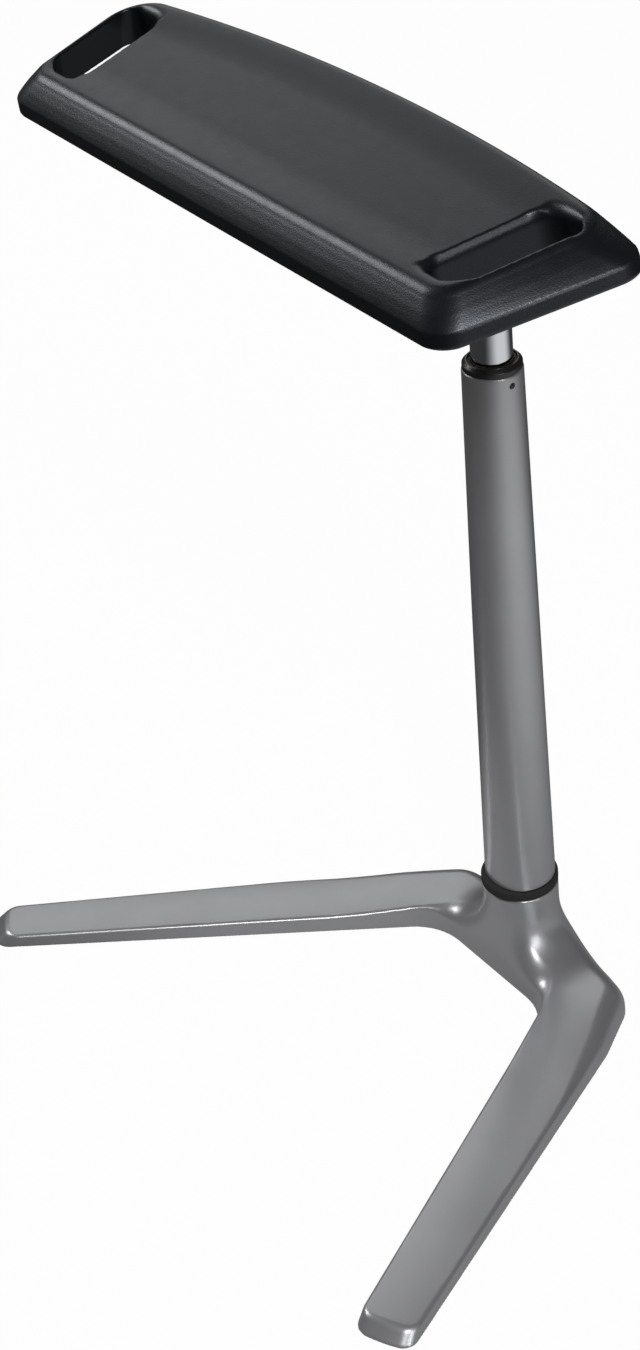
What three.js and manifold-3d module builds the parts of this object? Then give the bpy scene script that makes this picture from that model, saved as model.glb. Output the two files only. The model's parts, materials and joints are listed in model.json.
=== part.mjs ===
// A perch stool: a V-shaped cast base, a leaning tapered column, a gas spring and a tilted foam seat with grip slots.
// Millimetres, +Z up, +X along the seat. The legs open towards -Y, the side that the sitter's feet are on.
import * as THREE from 'three';
import * as BufferGeometryUtils from 'three/addons/utils/BufferGeometryUtils.js';
import Module from 'manifold-3d';

const wasm = await Module();
wasm.setup();

// Clearances
const GAP = 0.3; // between pieces that touch
const OVERRUN = 4; // how far a cutter runs past the face it opens

// Base casting
const LEG_ROOT_X = 77.8; // centre line of a leg at the elbow
const LEG_ROOT_Y = 11.2;
const LEG_TIP_X = 255; // at the foot of the end face
const LEG_TIP_Y = -308.6;
const LEG_ROOT_WIDTH = 60;
const LEG_TIP_WIDTH = 41;
const LEG_ROOT_HEIGHT = 17;
const LEG_TIP_HEIGHT = 10.8;
const TIP_SLOPE = 9; // how far the foot of the end face stands out past its top
const TIP_LIP = 2; // upright edge at the foot of the end face
const ELBOW_RISE = 6; // extra height of the shoulder over the run of the leg
const ELBOW_RADIUS = 29;
const ELBOW_CENTRE_Y = 3;
const TIP_CORNER_RADIUS = 9;
const CROTCH_RADIUS = 40;
const HUB_RADIUS = 40; // round back of the hub at floor level
const HUB_FRONT_Y = -24; // straight front of the hub at floor level
const HUB_FRONT_LEAN = 5; // how far the front leans out up to the collar
const COLLAR_RADIUS = 28.5;
const COLLAR_HEIGHT = 75.7; // centre of the collar's top face over the floor
const HUB_BORE_RADIUS = 21;
const HUB_MOUTH_RADIUS = 15;
const HUB_MOUTH_DEPTH = 8;
const ROOT_FULLNESS = 3.2; // exponents of the section: 2 is an ellipse, larger is squarer
const TIP_FULLNESS = 9;
const ELBOW_REACH_SHARE = 0.3; // share of the leg over which the shoulder fades out
const FLARE_SHARES = [
  [0, 0], [0.01, 0.16], [0.05, 0.33], [0.17, 0.48], [0.4, 0.61], [0.68, 0.71], [1, 0.79], [1, 0.86],
];

// Floor pads
const PAD_RADIUS = 12;
const PAD_THICKNESS = 4;
const PAD_STAND = 1; // how far a pad stands out below the casting
const TOE_PAD_SETBACK = 30.7;

// Column
const COLUMN_LEAN = THREE.MathUtils.degToRad(5.08); // forwards, towards -Y
const COLUMN_LENGTH = 422;
const COLUMN_FOOT_RADIUS = 26.5;
const COLUMN_TOP_RADIUS = 20.5;
const COLUMN_WALL = 3.6;
const COLUMN_CHAMFER = 1.4;
const RING_HEIGHT = 7.6;
const RING_EDGE = 1.2;
const FOOT_PLUG_HEIGHT = 38;

// Flexible bearing between the base and the column
const BUSH_SLEEVE_WALL = 2.1;
const BUSH_SLEEVE_LENGTH = 40;
const BUSH_SLEEVE_DEPTH = 12; // under the collar's top face
const BUSH_CORE_RADIUS = 12;
const BUSH_CORE_TAIL = 2; // how far the core stands out below the sleeve
const BUSH_END_SET_IN = 2; // rubber shorter than its sleeve at each end
const CORE_BOLT_RADIUS = 6;
const CORE_BOLT_BITE = 16; // thread held in the foot plug
const BOLT_HEAD_RADIUS = 9.5;
const BOLT_HEAD_HEIGHT = 8;
const CORE_WASHER_RADIUS = 15;
const CORE_WASHER_THICKNESS = 3;

// Guide bush at the column's top
const GUIDE_LENGTH = 60;
const GUIDE_FLANGE_HEIGHT = 6;
const GUIDE_FLANGE_SET_IN = 0.5;
const GUIDE_BEVEL = 2;
const GUIDE_WALL = 2.6;
const WIPER_WIDTH = 2;
const WIPER_HEIGHT = 2.5;
const WIPER_SINK = 1; // below the flange's top
const GRUB_RADIUS = 2;
const GRUB_DROP = 7; // below the column's top

// Gas spring
const TUBE_RADIUS = 14;
const TUBE_WALL = 1.6;
const TUBE_LENGTH = 341;
const TUBE_SHOW = 126; // from the column's top to the tube's top at rest
const TUBE_TAPER = 1; // how much narrower the tube's top is, where it wedges in its socket
const TAPER_LENGTH = 40;
const ROD_RADIUS = 5;
const ROD_SOCKET_DEPTH = 16;
const PISTON_HEIGHT = 12;
const PISTON_DROP = 58; // piston's top below the column's top
const ROD_GUIDE_HEIGHT = 15;
const VALVE_HEIGHT = 26;
const PIN_RADIUS = 3;
const PIN_STAND = 7.7; // pin over the tube's top
const PIN_DEPTH = 14;
const PIN_TIP_RADIUS = 1.5;
const ROD_WASHER_RADIUS = 10;
const ROD_WASHER_THICKNESS = 2;
const ROD_CLIP_RADIUS = 8;
const ROD_CLIP_THICKNESS = 1.4;

// Seat arm
const SOCKET_RADIUS = 21;
const SOCKET_HEIGHT = 44;
const SOCKET_LIP = 3; // socket over the tube's top
const ARM_WEB_WIDTH = 18;
const ARM_PLATE_LENGTH = 96; // along the seat's depth
const ARM_PLATE_WIDTH = 92;
const ARM_PLATE_THICKNESS = 5;
const ARM_PLATE_CORNER = 10;
const ARM_TOE_HEIGHT = 7; // web under the plate's front edge
const EAR_THICKNESS = 4;
const EAR_WIDTH = 10;
const EAR_RISE = 11;

// Release lever
const LEVER_PIVOT_X = -14;
const LEVER_THICKNESS = 4;
const LEVER_WIDTH = 14;
const LEVER_NOSE = 7; // past the pin's centre
const LEVER_KNEE_X = -40;
const LEVER_BEND_X = -104;
const LEVER_BEND_Y = -74;
const LEVER_END_X = -158;
const LEVER_END_Y = -98;
const LEVER_BARREL_RADIUS = 5;
const PIVOT_RADIUS = 2.5;
const PIVOT_HEAD = 1.5; // pivot pin past each ear
const GRIP_LENGTH = 56;
const GRIP_THICKNESS = 9;
const GRIP_WIDTH = 22;

// Seat pad, measured in the seat's own tilted frame from the middle of its front lower edge
const SEAT_TILT = THREE.MathUtils.degToRad(10.52); // to the plane square to the column
const SEAT_REACH = 202; // from the tube's axis to the front lower edge
const SEAT_RISE = 46; // from the tube's top to the front lower edge
const SEAT_FRONT_LENGTH = 457.4;
const SEAT_BACK_LENGTH = 531.6;
const SEAT_DEPTH = 117.6;
const SEAT_BACK_BOW = 18.5;
const SEAT_HEIGHT = 23.4; // from the lower edge to the rim
const SEAT_UNDER = 8; // underside below the lower edge
const SEAT_UNDER_SET_IN = 14;
const FRONT_SLOPE = 14.2; // how far each side leans in up to the rim
const END_FRONT_SLOPE = 10.3;
const END_BACK_SLOPE = 25;
const BACK_SLOPE = 3;
const SEAT_FRONT_CORNER = 15;
const SEAT_BACK_LOW_CORNER = 18;
const SEAT_BACK_RIM_CORNER = 30;
const RIM_RADIUS = 4.5;
const SEAT_DISH = 2.5;
const DISH_MARGIN = 34;
// Height and lean of each ring as shares of the seat's height and slopes
const SIDE_SHARES = [[0, 0], [0.34, 0.06], [0.62, 0.48], [0.84, 0.88]];

// Grip slots, at the wall and at the seat's surface
const SLOT_FRONT = 29;
const SLOT_BACK = 105;
const SLOT_FRONT_INNER_X = 184;
const SLOT_BACK_INNER_X = 199;
const SLOT_RIM = 5.5; // from the rim line to the slot's outer wall
const SLOT_CORNER = 12;
const SLOT_INNER_ROLL = 20;
const SLOT_END_ROLL = 7;
const SLOT_OUTER_ROLL = 3;

// Seat board and its fixings
const BOARD_LENGTH = 300;
const BOARD_DEPTH = 92;
const BOARD_THICKNESS = 6;
const BOARD_FRONT = 20;
const BOARD_CORNER = 12;
const SCREW_SPACING_X = 72;
const SCREW_SPACING_Y = 62;
const SCREW_RADIUS = 3;
const SCREW_HEAD_RADIUS = 5.5;
const SCREW_HEAD_HEIGHT = 3.2;
const INSERT_RADIUS = 5.2;

// Facets
const FINE = 48;
const MEDIUM = 32;
const COARSE = 20;
const HEXAGON = 6;
const CORNER_STEPS = 5;
const SECTION_STEPS = 14;
const HUB_STATIONS = 5;
const ELBOW_STATIONS = 8;
const LEG_STATIONS = 10;
const TIP_STATIONS = 4;
const BACK_STATIONS = 12;

// Derived sizes
const RING_TOP = RING_HEIGHT + GAP;
const COLUMN_TOP = RING_TOP + COLUMN_LENGTH;
const TUBE_TOP = COLUMN_TOP + TUBE_SHOW;
const TUBE_BORE = TUBE_RADIUS - TUBE_WALL;
const GUIDE_RADIUS = TUBE_RADIUS + GAP + GUIDE_WALL;
const SLEEVE_INNER = HUB_BORE_RADIUS - GAP - BUSH_SLEEVE_WALL;
const SLEEVE_BOTTOM = -BUSH_SLEEVE_DEPTH - BUSH_SLEEVE_LENGTH;
const CORE_BOTTOM = SLEEVE_BOTTOM - BUSH_CORE_TAIL;
const BOARD_BACK = BOARD_FRONT + BOARD_DEPTH;
const PLATE_MIDDLE = (BOARD_FRONT + BOARD_BACK) / 2;
const LEVER_HEIGHT = PIN_STAND + GAP;

const finish = (color, roughness, metalness) => new THREE.MeshStandardMaterial({ color, roughness, metalness });
const satinSilver = finish(0x8c8e91, 0.42, 0.5);
const chrome = finish(0xd8dadc, 0.08, 1);
const steel = finish(0xa4a6a8, 0.35, 0.9);
const darkSteel = finish(0x3a3b3d, 0.5, 0.7);
const blackPlastic = finish(0x18191b, 0.45, 0);
const blackRubber = finish(0x121314, 0.75, 0);
const blackFoam = finish(0x2b2d30, 0.55, 0);
const felt = finish(0x6b5138, 0.9, 0);
const board = finish(0x8a6b48, 0.8, 0);

const stool = new THREE.Group();

// Adds one named solid to a group
function add(parent, name, shape, material) {
  const mesh = new THREE.Mesh(shape.isBufferGeometry ? shape : toGeometry(shape), material);
  mesh.name = name;
  parent.add(mesh);
  return mesh;
}

// Signed volume of an indexed mesh
function signedVolume(positions, indices) {
  const [a, b, c] = [new THREE.Vector3(), new THREE.Vector3(), new THREE.Vector3()];
  let sum = 0;
  for (let i = 0; i < indices.length; i += 3) {
    a.fromArray(positions, 3 * indices[i]);
    b.fromArray(positions, 3 * indices[i + 1]);
    c.fromArray(positions, 3 * indices[i + 2]);
    sum += a.dot(b.cross(c)) / 6;
  }
  return sum;
}

// Turns a closed geometry into a solid for cutting and joining
function toSolid(geometry) {
  const plain = geometry.clone();
  plain.deleteAttribute('normal');
  plain.deleteAttribute('uv');
  const merged = BufferGeometryUtils.mergeVertices(plain, 1e-4);
  const positions = merged.getAttribute('position').array;
  const kept = [];
  const index = merged.index.array;
  for (let i = 0; i < index.length; i += 3) {
    const [a, b, c] = [index[i], index[i + 1], index[i + 2]];
    if (a !== b && b !== c && c !== a) kept.push(a, b, c);
  }
  if (signedVolume(positions, kept) < 0) kept.reverse();
  const mesh = new wasm.Mesh({
    numProp: 3,
    vertProperties: new Float32Array(positions),
    triVerts: new Uint32Array(kept),
  });
  mesh.merge();
  return new wasm.Manifold(mesh);
}

// Turns a solid back into a geometry
function toGeometry(solid) {
  const mesh = solid.getMesh();
  const geometry = new THREE.BufferGeometry();
  geometry.setAttribute('position', new THREE.BufferAttribute(new Float32Array(mesh.vertProperties), 3));
  geometry.setIndex(new THREE.BufferAttribute(new Uint32Array(mesh.triVerts), 1));
  geometry.computeVertexNormals();
  return geometry;
}

// A solid turned about Z from a profile of [radius, height] pairs that ends on the axis or closes on itself
function turned(profile, segments = FINE) {
  const points = profile.map(([radius, height]) => new THREE.Vector2(radius, height));
  return toSolid(new THREE.LatheGeometry(points, segments).rotateX(Math.PI / 2));
}

// A round bar between two heights
function bar(radius, low, high, segments = COARSE) {
  return turned([[0, low], [radius, low], [radius, high], [0, high]], segments);
}

// A ring between two radii and two heights
function ring(inner, outer, low, high, segments = FINE) {
  return turned([[inner, low], [outer, low], [outer, high], [inner, high], [inner, low]], segments);
}

// A solid through closed rings of points, capped at both ends by fans round each end's middle
function lofted(rings) {
  const count = rings[0].length;
  const points = rings.flat();
  const indices = [];
  for (let i = 0; i < rings.length - 1; i += 1) {
    for (let j = 0; j < count; j += 1) {
      const [a, b] = [i * count + j, i * count + ((j + 1) % count)];
      indices.push(a, b, b + count, a, b + count, a + count);
    }
  }
  for (const [first, turn] of [[0, false], [(rings.length - 1) * count, true]]) {
    const middle = new THREE.Vector3();
    for (let j = 0; j < count; j += 1) middle.addScaledVector(points[first + j], 1 / count);
    const hub = points.push(middle) - 1;
    for (let j = 0; j < count; j += 1) {
      const [a, b] = [first + j, first + ((j + 1) % count)];
      indices.push(...(turn ? [a, b, hub] : [b, a, hub]));
    }
  }
  const geometry = new THREE.BufferGeometry().setFromPoints(points);
  geometry.setIndex(indices);
  return toSolid(geometry);
}

// A closed outline through corners given as [x, y, radius], with an arc at each corner that has a radius
function rounded(corners, steps = CORNER_STEPS) {
  const outline = [];
  corners.forEach(([x, y, radius], i) => {
    const corner = new THREE.Vector2(x, y);
    if (radius === 0) {
      outline.push(corner);
      return;
    }
    const [px, py] = corners[(i + corners.length - 1) % corners.length];
    const [nx, ny] = corners[(i + 1) % corners.length];
    const back = new THREE.Vector2(px, py).sub(corner).normalize();
    const ahead = new THREE.Vector2(nx, ny).sub(corner).normalize();
    const half = Math.acos(back.dot(ahead)) / 2;
    const centre = back.clone().add(ahead).setLength(radius / Math.sin(half)).add(corner);
    const from = back.setLength(radius / Math.tan(half)).add(corner).sub(centre);
    const to = ahead.setLength(radius / Math.tan(half)).add(corner).sub(centre);
    const sweep = Math.PI - 2 * half;
    for (let k = 0; k <= steps; k += 1) {
      const [p, q] = [Math.sin((1 - k / steps) * sweep), Math.sin((k / steps) * sweep)];
      outline.push(from.clone().multiplyScalar(p).addScaledVector(to, q).divideScalar(Math.sin(sweep)).add(centre));
    }
  });
  return outline;
}

// An outline in a plane, raised between two heights
function raised(outline, low, high) {
  return lofted([low, high].map((z) => outline.map((p) => new THREE.Vector3(p.x, p.y, z))));
}

// Four corners of a rectangle about a middle, for rounded()
function rectangle(width, depth, x, y, radius) {
  const [w, d] = [width / 2, depth / 2];
  return [[x - w, y - d, radius], [x + w, y - d, radius], [x + w, y + d, radius], [x - w, y + d, radius]];
}

// An outline in the YZ plane, extruded to both sides of X = 0
function slab(points, width) {
  const shape = new THREE.Shape(points.map(([y, z]) => new THREE.Vector2(y, z)));
  const geometry = new THREE.ExtrudeGeometry(shape, { depth: width, bevelEnabled: false });
  geometry.translate(0, 0, -width / 2);
  geometry.applyMatrix4(new THREE.Matrix4().set(0, 0, 1, 0, 1, 0, 0, 0, 0, 1, 0, 0, 0, 0, 0, 1));
  return toSolid(geometry);
}

// Moves a solid by a placement
function placed(solid, matrix) {
  return solid.transform(matrix.elements);
}

const shift = (x, y, z) => new THREE.Matrix4().makeTranslation(x, y, z);

// The column's frame: its origin is the middle of the collar's top face, its Z is the leaning axis
const columnFrame = new THREE.Matrix4().makeRotationX(COLUMN_LEAN).setPosition(0, 0, COLLAR_HEIGHT);

// Points of the right-hand half of the base's plan, from the middle to the tip, as [inner, outer] pairs
function basePlan() {
  const root = new THREE.Vector2(LEG_ROOT_X, LEG_ROOT_Y);
  const tip = new THREE.Vector2(LEG_TIP_X, LEG_TIP_Y);
  const along = tip.clone().sub(root).normalize();
  const across = new THREE.Vector2(-along.y, along.x);
  const legLength = tip.distanceTo(root);
  const edge = (run, side) => {
    const width = THREE.MathUtils.lerp(LEG_ROOT_WIDTH, LEG_TIP_WIDTH, run / legLength);
    const left = Math.max(0, TIP_CORNER_RADIUS - (legLength - run));
    const trim = TIP_CORNER_RADIUS - Math.sqrt(TIP_CORNER_RADIUS ** 2 - left ** 2);
    return root.clone().addScaledVector(along, run).addScaledVector(across, side * (width / 2 - trim));
  };
  // Where the inner edge of the leg meets the straight front of the hub
  const innerSlope = edge(legLength / 2, -1).sub(edge(0, -1)).normalize();
  const innerStart = edge(0, -1);
  const crotch = innerStart.addScaledVector(innerSlope, (HUB_FRONT_Y - innerStart.y) / innerSlope.y);
  const front = new THREE.Vector2(0, HUB_FRONT_Y);
  const far = edge(legLength / 2, -1);
  const bend = [[front.x, front.y, 0], [crotch.x, crotch.y, CROTCH_RADIUS], [far.x, far.y, 0]];
  const fillet = rounded(bend, ELBOW_STATIONS).slice(1, -1);
  const legRun = fillet.at(-1).clone().sub(root).dot(along);
  // The round back: an arc about the column, a common tangent, an arc round the elbow
  const hubCentre = new THREE.Vector2(0, COLLAR_HEIGHT * Math.tan(COLUMN_LEAN));
  const elbow = new THREE.Vector2(LEG_ROOT_X, ELBOW_CENTRE_Y);
  const apart = elbow.clone().sub(hubCentre);
  const tangentAngle = apart.angle() + Math.acos((HUB_RADIUS - ELBOW_RADIUS) / apart.length());
  const outer = new THREE.Path();
  outer.absarc(hubCentre.x, hubCentre.y, HUB_RADIUS, Math.PI / 2, tangentAngle, true);
  outer.absarc(elbow.x, elbow.y, ELBOW_RADIUS, tangentAngle, across.angle(), true);
  const outerEnd = edge(legRun, 1);
  outer.lineTo(outerEnd.x, outerEnd.y);
  const outerPoints = outer.getSpacedPoints(HUB_STATIONS + ELBOW_STATIONS);
  const stations = [];
  for (let i = 0; i < HUB_STATIONS; i += 1) {
    stations.push({ inner: front.clone().lerp(fillet[0], i / HUB_STATIONS), outer: outerPoints[i], run: 0 });
  }
  fillet.forEach((inner, i) => stations.push({ inner, outer: outerPoints[HUB_STATIONS + i], run: 0 }));
  const addLeg = (run) => stations.push({
    inner: edge(run, -1), outer: edge(run, 1), run: run / legLength, left: legLength - run,
  });
  const tipStart = legLength - TIP_CORNER_RADIUS;
  for (let i = 1; i <= LEG_STATIONS; i += 1) addLeg(THREE.MathUtils.lerp(legRun, tipStart, i / LEG_STATIONS));
  for (let i = 1; i <= TIP_STATIONS; i += 1) {
    addLeg(tipStart + TIP_CORNER_RADIUS * Math.sin(((i / TIP_STATIONS) * Math.PI) / 2));
  }
  return stations;
}

// One cross-section of the base: a flat bottom under a top that is round at the root and square at the tip.
// The last sections lie under the sloping end face.
function baseSection({ inner, outer, run, left = TIP_SLOPE }, side) {
  const fade = THREE.MathUtils.smoothstep(run, 0, ELBOW_REACH_SHARE);
  const full = THREE.MathUtils.lerp(LEG_ROOT_HEIGHT, LEG_TIP_HEIGHT, run) + ELBOW_RISE * (1 - fade) - PAD_STAND;
  const height = THREE.MathUtils.lerp(TIP_LIP, full, Math.min(1, left / TIP_SLOPE));
  const power = 2 / THREE.MathUtils.lerp(ROOT_FULLNESS, TIP_FULLNESS, THREE.MathUtils.smoothstep(run, 0, 1 / 2));
  const section = [];
  for (let k = 0; k <= SECTION_STEPS; k += 1) {
    const angle = (Math.PI * k) / SECTION_STEPS;
    const across = (1 - Math.sign(Math.cos(angle)) * Math.abs(Math.cos(angle)) ** power) / 2;
    const point = inner.clone().lerp(outer, across);
    const up = k === SECTION_STEPS ? 0 : Math.sin(angle) ** power;
    section.push(new THREE.Vector3(side * point.x, point.y, PAD_STAND + height * up));
  }
  return section;
}

// The concave flare from the collar down to the hub, flat at the front
function hubFlare() {
  const spread = HUB_RADIUS - COLLAR_RADIUS;
  const profile = FLARE_SHARES.map(([out, down]) => [COLLAR_RADIUS + spread * out, -COLLAR_HEIGHT * down]);
  const [, last] = profile.at(-1);
  const cone = placed(turned([[0, 0], ...profile, [0, last]], FINE), columnFrame);
  const reach = 2 * HUB_RADIUS;
  const frontTop = HUB_FRONT_Y - HUB_FRONT_LEAN;
  const behind = [[HUB_FRONT_Y, 0], [reach, 0], [reach, reach], [frontTop, reach], [frontTop, COLLAR_HEIGHT]];
  return cone.intersect(slab(behind, 2 * reach));
}

// Middle of each floor pad, right-hand side
function padPlaces() {
  const root = new THREE.Vector2(LEG_ROOT_X, LEG_ROOT_Y);
  const tip = new THREE.Vector2(LEG_TIP_X, LEG_TIP_Y);
  const toe = tip.clone().lerp(root, TOE_PAD_SETBACK / tip.distanceTo(root));
  return { toe, heel: new THREE.Vector2(LEG_ROOT_X, ELBOW_CENTRE_Y) };
}

function baseCasting() {
  const right = basePlan();
  const sections = right.slice(1).reverse().map((station) => baseSection(station, -1));
  sections.push(...right.map((station) => baseSection(station, 1)));
  let casting = lofted(sections).add(hubFlare());
  const boreCut = turned([
    [0, -COLLAR_HEIGHT - OVERRUN], [HUB_BORE_RADIUS, -COLLAR_HEIGHT - OVERRUN], [HUB_BORE_RADIUS, -HUB_MOUTH_DEPTH],
    [HUB_MOUTH_RADIUS, -HUB_MOUTH_DEPTH], [HUB_MOUTH_RADIUS, OVERRUN], [0, OVERRUN],
  ]);
  casting = casting.subtract(placed(boreCut, columnFrame));
  for (const place of Object.values(padPlaces())) {
    for (const side of [-1, 1]) {
      const recess = bar(PAD_RADIUS + GAP, -OVERRUN, PAD_THICKNESS + GAP, MEDIUM);
      casting = casting.subtract(placed(recess, shift(side * place.x, place.y, 0)));
    }
  }
  return casting;
}

function buildBase(parent) {
  add(parent, 'base_casting', baseCasting(), satinSilver);
  for (const [kind, place] of Object.entries(padPlaces())) {
    for (const [name, side] of [['left', -1], ['right', 1]]) {
      const pad = add(parent, `${kind}_pad_${name}`, bar(PAD_RADIUS, 0, PAD_THICKNESS, MEDIUM), blackRubber);
      pad.position.set(side * place.x, place.y, 0);
    }
  }
}

// The rubber bearing in the hub that lets the column rock, and the bolt that holds the column on it
function buildBearing(parent) {
  const sleeveTop = -BUSH_SLEEVE_DEPTH;
  add(parent, 'bearing_sleeve', ring(SLEEVE_INNER, HUB_BORE_RADIUS - GAP, SLEEVE_BOTTOM, sleeveTop), steel);
  const [low, high] = [SLEEVE_BOTTOM + BUSH_END_SET_IN, sleeveTop - BUSH_END_SET_IN];
  add(parent, 'bearing_rubber', ring(BUSH_CORE_RADIUS + GAP, SLEEVE_INNER - GAP, low, high), blackRubber);
  const edge = COLLAR_RADIUS - RING_EDGE;
  const inner = HUB_MOUTH_RADIUS;
  const ringProfile = [
    [inner, GAP], [edge, GAP], [COLLAR_RADIUS, GAP + RING_EDGE], [COLLAR_RADIUS, RING_HEIGHT - RING_EDGE],
    [edge, RING_HEIGHT], [inner, RING_HEIGHT], [inner, GAP],
  ];
  add(parent, 'column_ring', turned(ringProfile), blackRubber);
  const boltHole = CORE_BOLT_RADIUS + GAP;
  add(parent, 'bearing_core', ring(boltHole, BUSH_CORE_RADIUS, CORE_BOTTOM, RING_HEIGHT, MEDIUM), steel);
  const washerLow = CORE_BOTTOM - GAP - CORE_WASHER_THICKNESS;
  add(parent, 'core_washer', ring(boltHole, CORE_WASHER_RADIUS, washerLow, CORE_BOTTOM - GAP, MEDIUM), steel);
  const headTop = washerLow - GAP;
  const shank = bar(CORE_BOLT_RADIUS, headTop - BOLT_HEAD_HEIGHT / 2, RING_TOP + CORE_BOLT_BITE);
  const head = bar(BOLT_HEAD_RADIUS, headTop - BOLT_HEAD_HEIGHT, headTop, HEXAGON);
  add(parent, 'core_bolt', shank.add(head), darkSteel);
}

// Outer and inner radius of the column at a height over the collar
const columnRadius = (height) => (
  THREE.MathUtils.mapLinear(height, RING_TOP, COLUMN_TOP, COLUMN_FOOT_RADIUS, COLUMN_TOP_RADIUS)
);
const columnBore = (height) => columnRadius(height) - COLUMN_WALL;

function buildColumn(parent) {
  const guideLow = COLUMN_TOP - GUIDE_LENGTH;
  const seatLow = guideLow - GAP;
  const tube = turned([
    [columnBore(RING_TOP), RING_TOP], [COLUMN_FOOT_RADIUS, RING_TOP],
    [columnRadius(COLUMN_TOP - COLUMN_CHAMFER), COLUMN_TOP - COLUMN_CHAMFER],
    [COLUMN_TOP_RADIUS - COLUMN_CHAMFER, COLUMN_TOP], [GUIDE_RADIUS + GAP, COLUMN_TOP],
    [GUIDE_RADIUS + GAP, seatLow], [columnBore(seatLow), seatLow], [columnBore(RING_TOP), RING_TOP],
  ]);
  const grubAxis = new THREE.Matrix4().makeRotationY(Math.PI / 2).setPosition(0, 0, COLUMN_TOP - GRUB_DROP);
  const grubHole = placed(bar(GRUB_RADIUS + GAP, GUIDE_RADIUS, COLUMN_TOP_RADIUS + OVERRUN), grubAxis);
  add(parent, 'column_tube', tube.subtract(grubHole), satinSilver);
  const grubLow = GUIDE_RADIUS + GAP;
  const grub = bar(GRUB_RADIUS, grubLow, COLUMN_TOP_RADIUS - COLUMN_CHAMFER);
  add(parent, 'guide_grub_screw', placed(grub, grubAxis), darkSteel);

  const plugTop = RING_TOP + FOOT_PLUG_HEIGHT;
  const plug = turned([
    [0, RING_TOP + CORE_BOLT_BITE + GAP], [CORE_BOLT_RADIUS + GAP, RING_TOP + CORE_BOLT_BITE + GAP],
    [CORE_BOLT_RADIUS + GAP, RING_TOP], [columnBore(RING_TOP) - GAP, RING_TOP], [columnBore(plugTop) - GAP, plugTop],
    [ROD_RADIUS + GAP, plugTop], [ROD_RADIUS + GAP, plugTop - ROD_SOCKET_DEPTH], [0, plugTop - ROD_SOCKET_DEPTH],
  ]);
  add(parent, 'column_foot_plug', plug, steel);
  return { guideLow, plugTop };
}

function buildGuide(parent, guideLow) {
  const bore = TUBE_RADIUS + GAP;
  const low = COLUMN_TOP + GAP;
  const top = COLUMN_TOP + GUIDE_FLANGE_HEIGHT;
  const flange = COLUMN_TOP_RADIUS - GUIDE_FLANGE_SET_IN;
  const pocket = bore + WIPER_WIDTH + GAP;
  const pocketLow = top - WIPER_SINK - WIPER_HEIGHT;
  const bush = turned([
    [bore, guideLow], [GUIDE_RADIUS, guideLow], [GUIDE_RADIUS, low], [flange, low], [flange, top - GUIDE_BEVEL],
    [flange - GUIDE_BEVEL, top], [pocket, top], [pocket, pocketLow - GAP], [bore, pocketLow - GAP], [bore, guideLow],
  ]);
  add(parent, 'guide_bush', bush, blackPlastic);
  add(parent, 'wiper_ring', ring(bore, bore + WIPER_WIDTH, pocketLow, top - WIPER_SINK), felt);
}

// The gas spring's rod stands on the foot plug and carries the piston inside the sliding tube
function buildRod(parent, plugTop) {
  const rodLow = plugTop - ROD_SOCKET_DEPTH + GAP;
  const pistonTop = COLUMN_TOP - PISTON_DROP;
  const pistonLow = pistonTop - PISTON_HEIGHT;
  add(parent, 'piston_rod', bar(ROD_RADIUS, rodLow, pistonTop + GAP), chrome);
  add(parent, 'piston', ring(ROD_RADIUS + GAP, TUBE_BORE - GAP, pistonLow, pistonTop, MEDIUM), darkSteel);
  const washerLow = plugTop + GAP;
  const washerTop = washerLow + ROD_WASHER_THICKNESS;
  add(parent, 'rod_washer', ring(ROD_RADIUS + GAP, ROD_WASHER_RADIUS, washerLow, washerTop, COARSE), steel);
  const clipLow = washerTop + GAP;
  const clipTop = clipLow + ROD_CLIP_THICKNESS;
  add(parent, 'rod_clip', ring(ROD_RADIUS + GAP, ROD_CLIP_RADIUS, clipLow, clipTop, COARSE), darkSteel);
}

// Everything from here is measured from the tube's top
function buildTube(parent) {
  const bottom = -TUBE_LENGTH;
  const neck = TUBE_RADIUS - TUBE_TAPER;
  const tube = turned([
    [TUBE_BORE - TUBE_TAPER, 0], [TUBE_BORE - TUBE_TAPER, -TAPER_LENGTH], [TUBE_BORE, -TAPER_LENGTH - TUBE_TAPER],
    [TUBE_BORE, bottom], [TUBE_RADIUS, bottom], [TUBE_RADIUS, -TAPER_LENGTH], [neck, 0], [TUBE_BORE - TUBE_TAPER, 0],
  ]);
  add(parent, 'gas_tube', tube, chrome);
  const guide = ring(ROD_RADIUS + GAP, TUBE_BORE - GAP, bottom + GAP, bottom + ROD_GUIDE_HEIGHT, MEDIUM);
  add(parent, 'rod_guide', guide, blackPlastic);
  const valveRadius = TUBE_BORE - TUBE_TAPER - GAP;
  const pinBottom = -PIN_DEPTH - OVERRUN;
  const valve = turned([
    [0, -VALVE_HEIGHT], [valveRadius, -VALVE_HEIGHT], [valveRadius, 0], [PIN_RADIUS + GAP, 0],
    [PIN_RADIUS + GAP, pinBottom], [0, pinBottom],
  ], MEDIUM);
  add(parent, 'valve_head', valve, steel);
  const shoulder = PIN_STAND - (PIN_RADIUS - PIN_TIP_RADIUS);
  const pin = turned([
    [0, -PIN_DEPTH], [PIN_RADIUS, -PIN_DEPTH], [PIN_RADIUS, shoulder], [PIN_TIP_RADIUS, PIN_STAND], [0, PIN_STAND],
  ], COARSE);
  add(parent, 'release_pin', pin, steel);
}

// The seat's frame, measured from the tube's top
const seatFrame = new THREE.Matrix4().makeRotationX(SEAT_TILT).setPosition(0, -SEAT_REACH, SEAT_RISE);
const screwPlaces = [-1, 1].flatMap((sx) => (
  [-1, 1].map((sy) => [(sx * SCREW_SPACING_X) / 2, PLATE_MIDDLE + (sy * SCREW_SPACING_Y) / 2])
));

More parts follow.
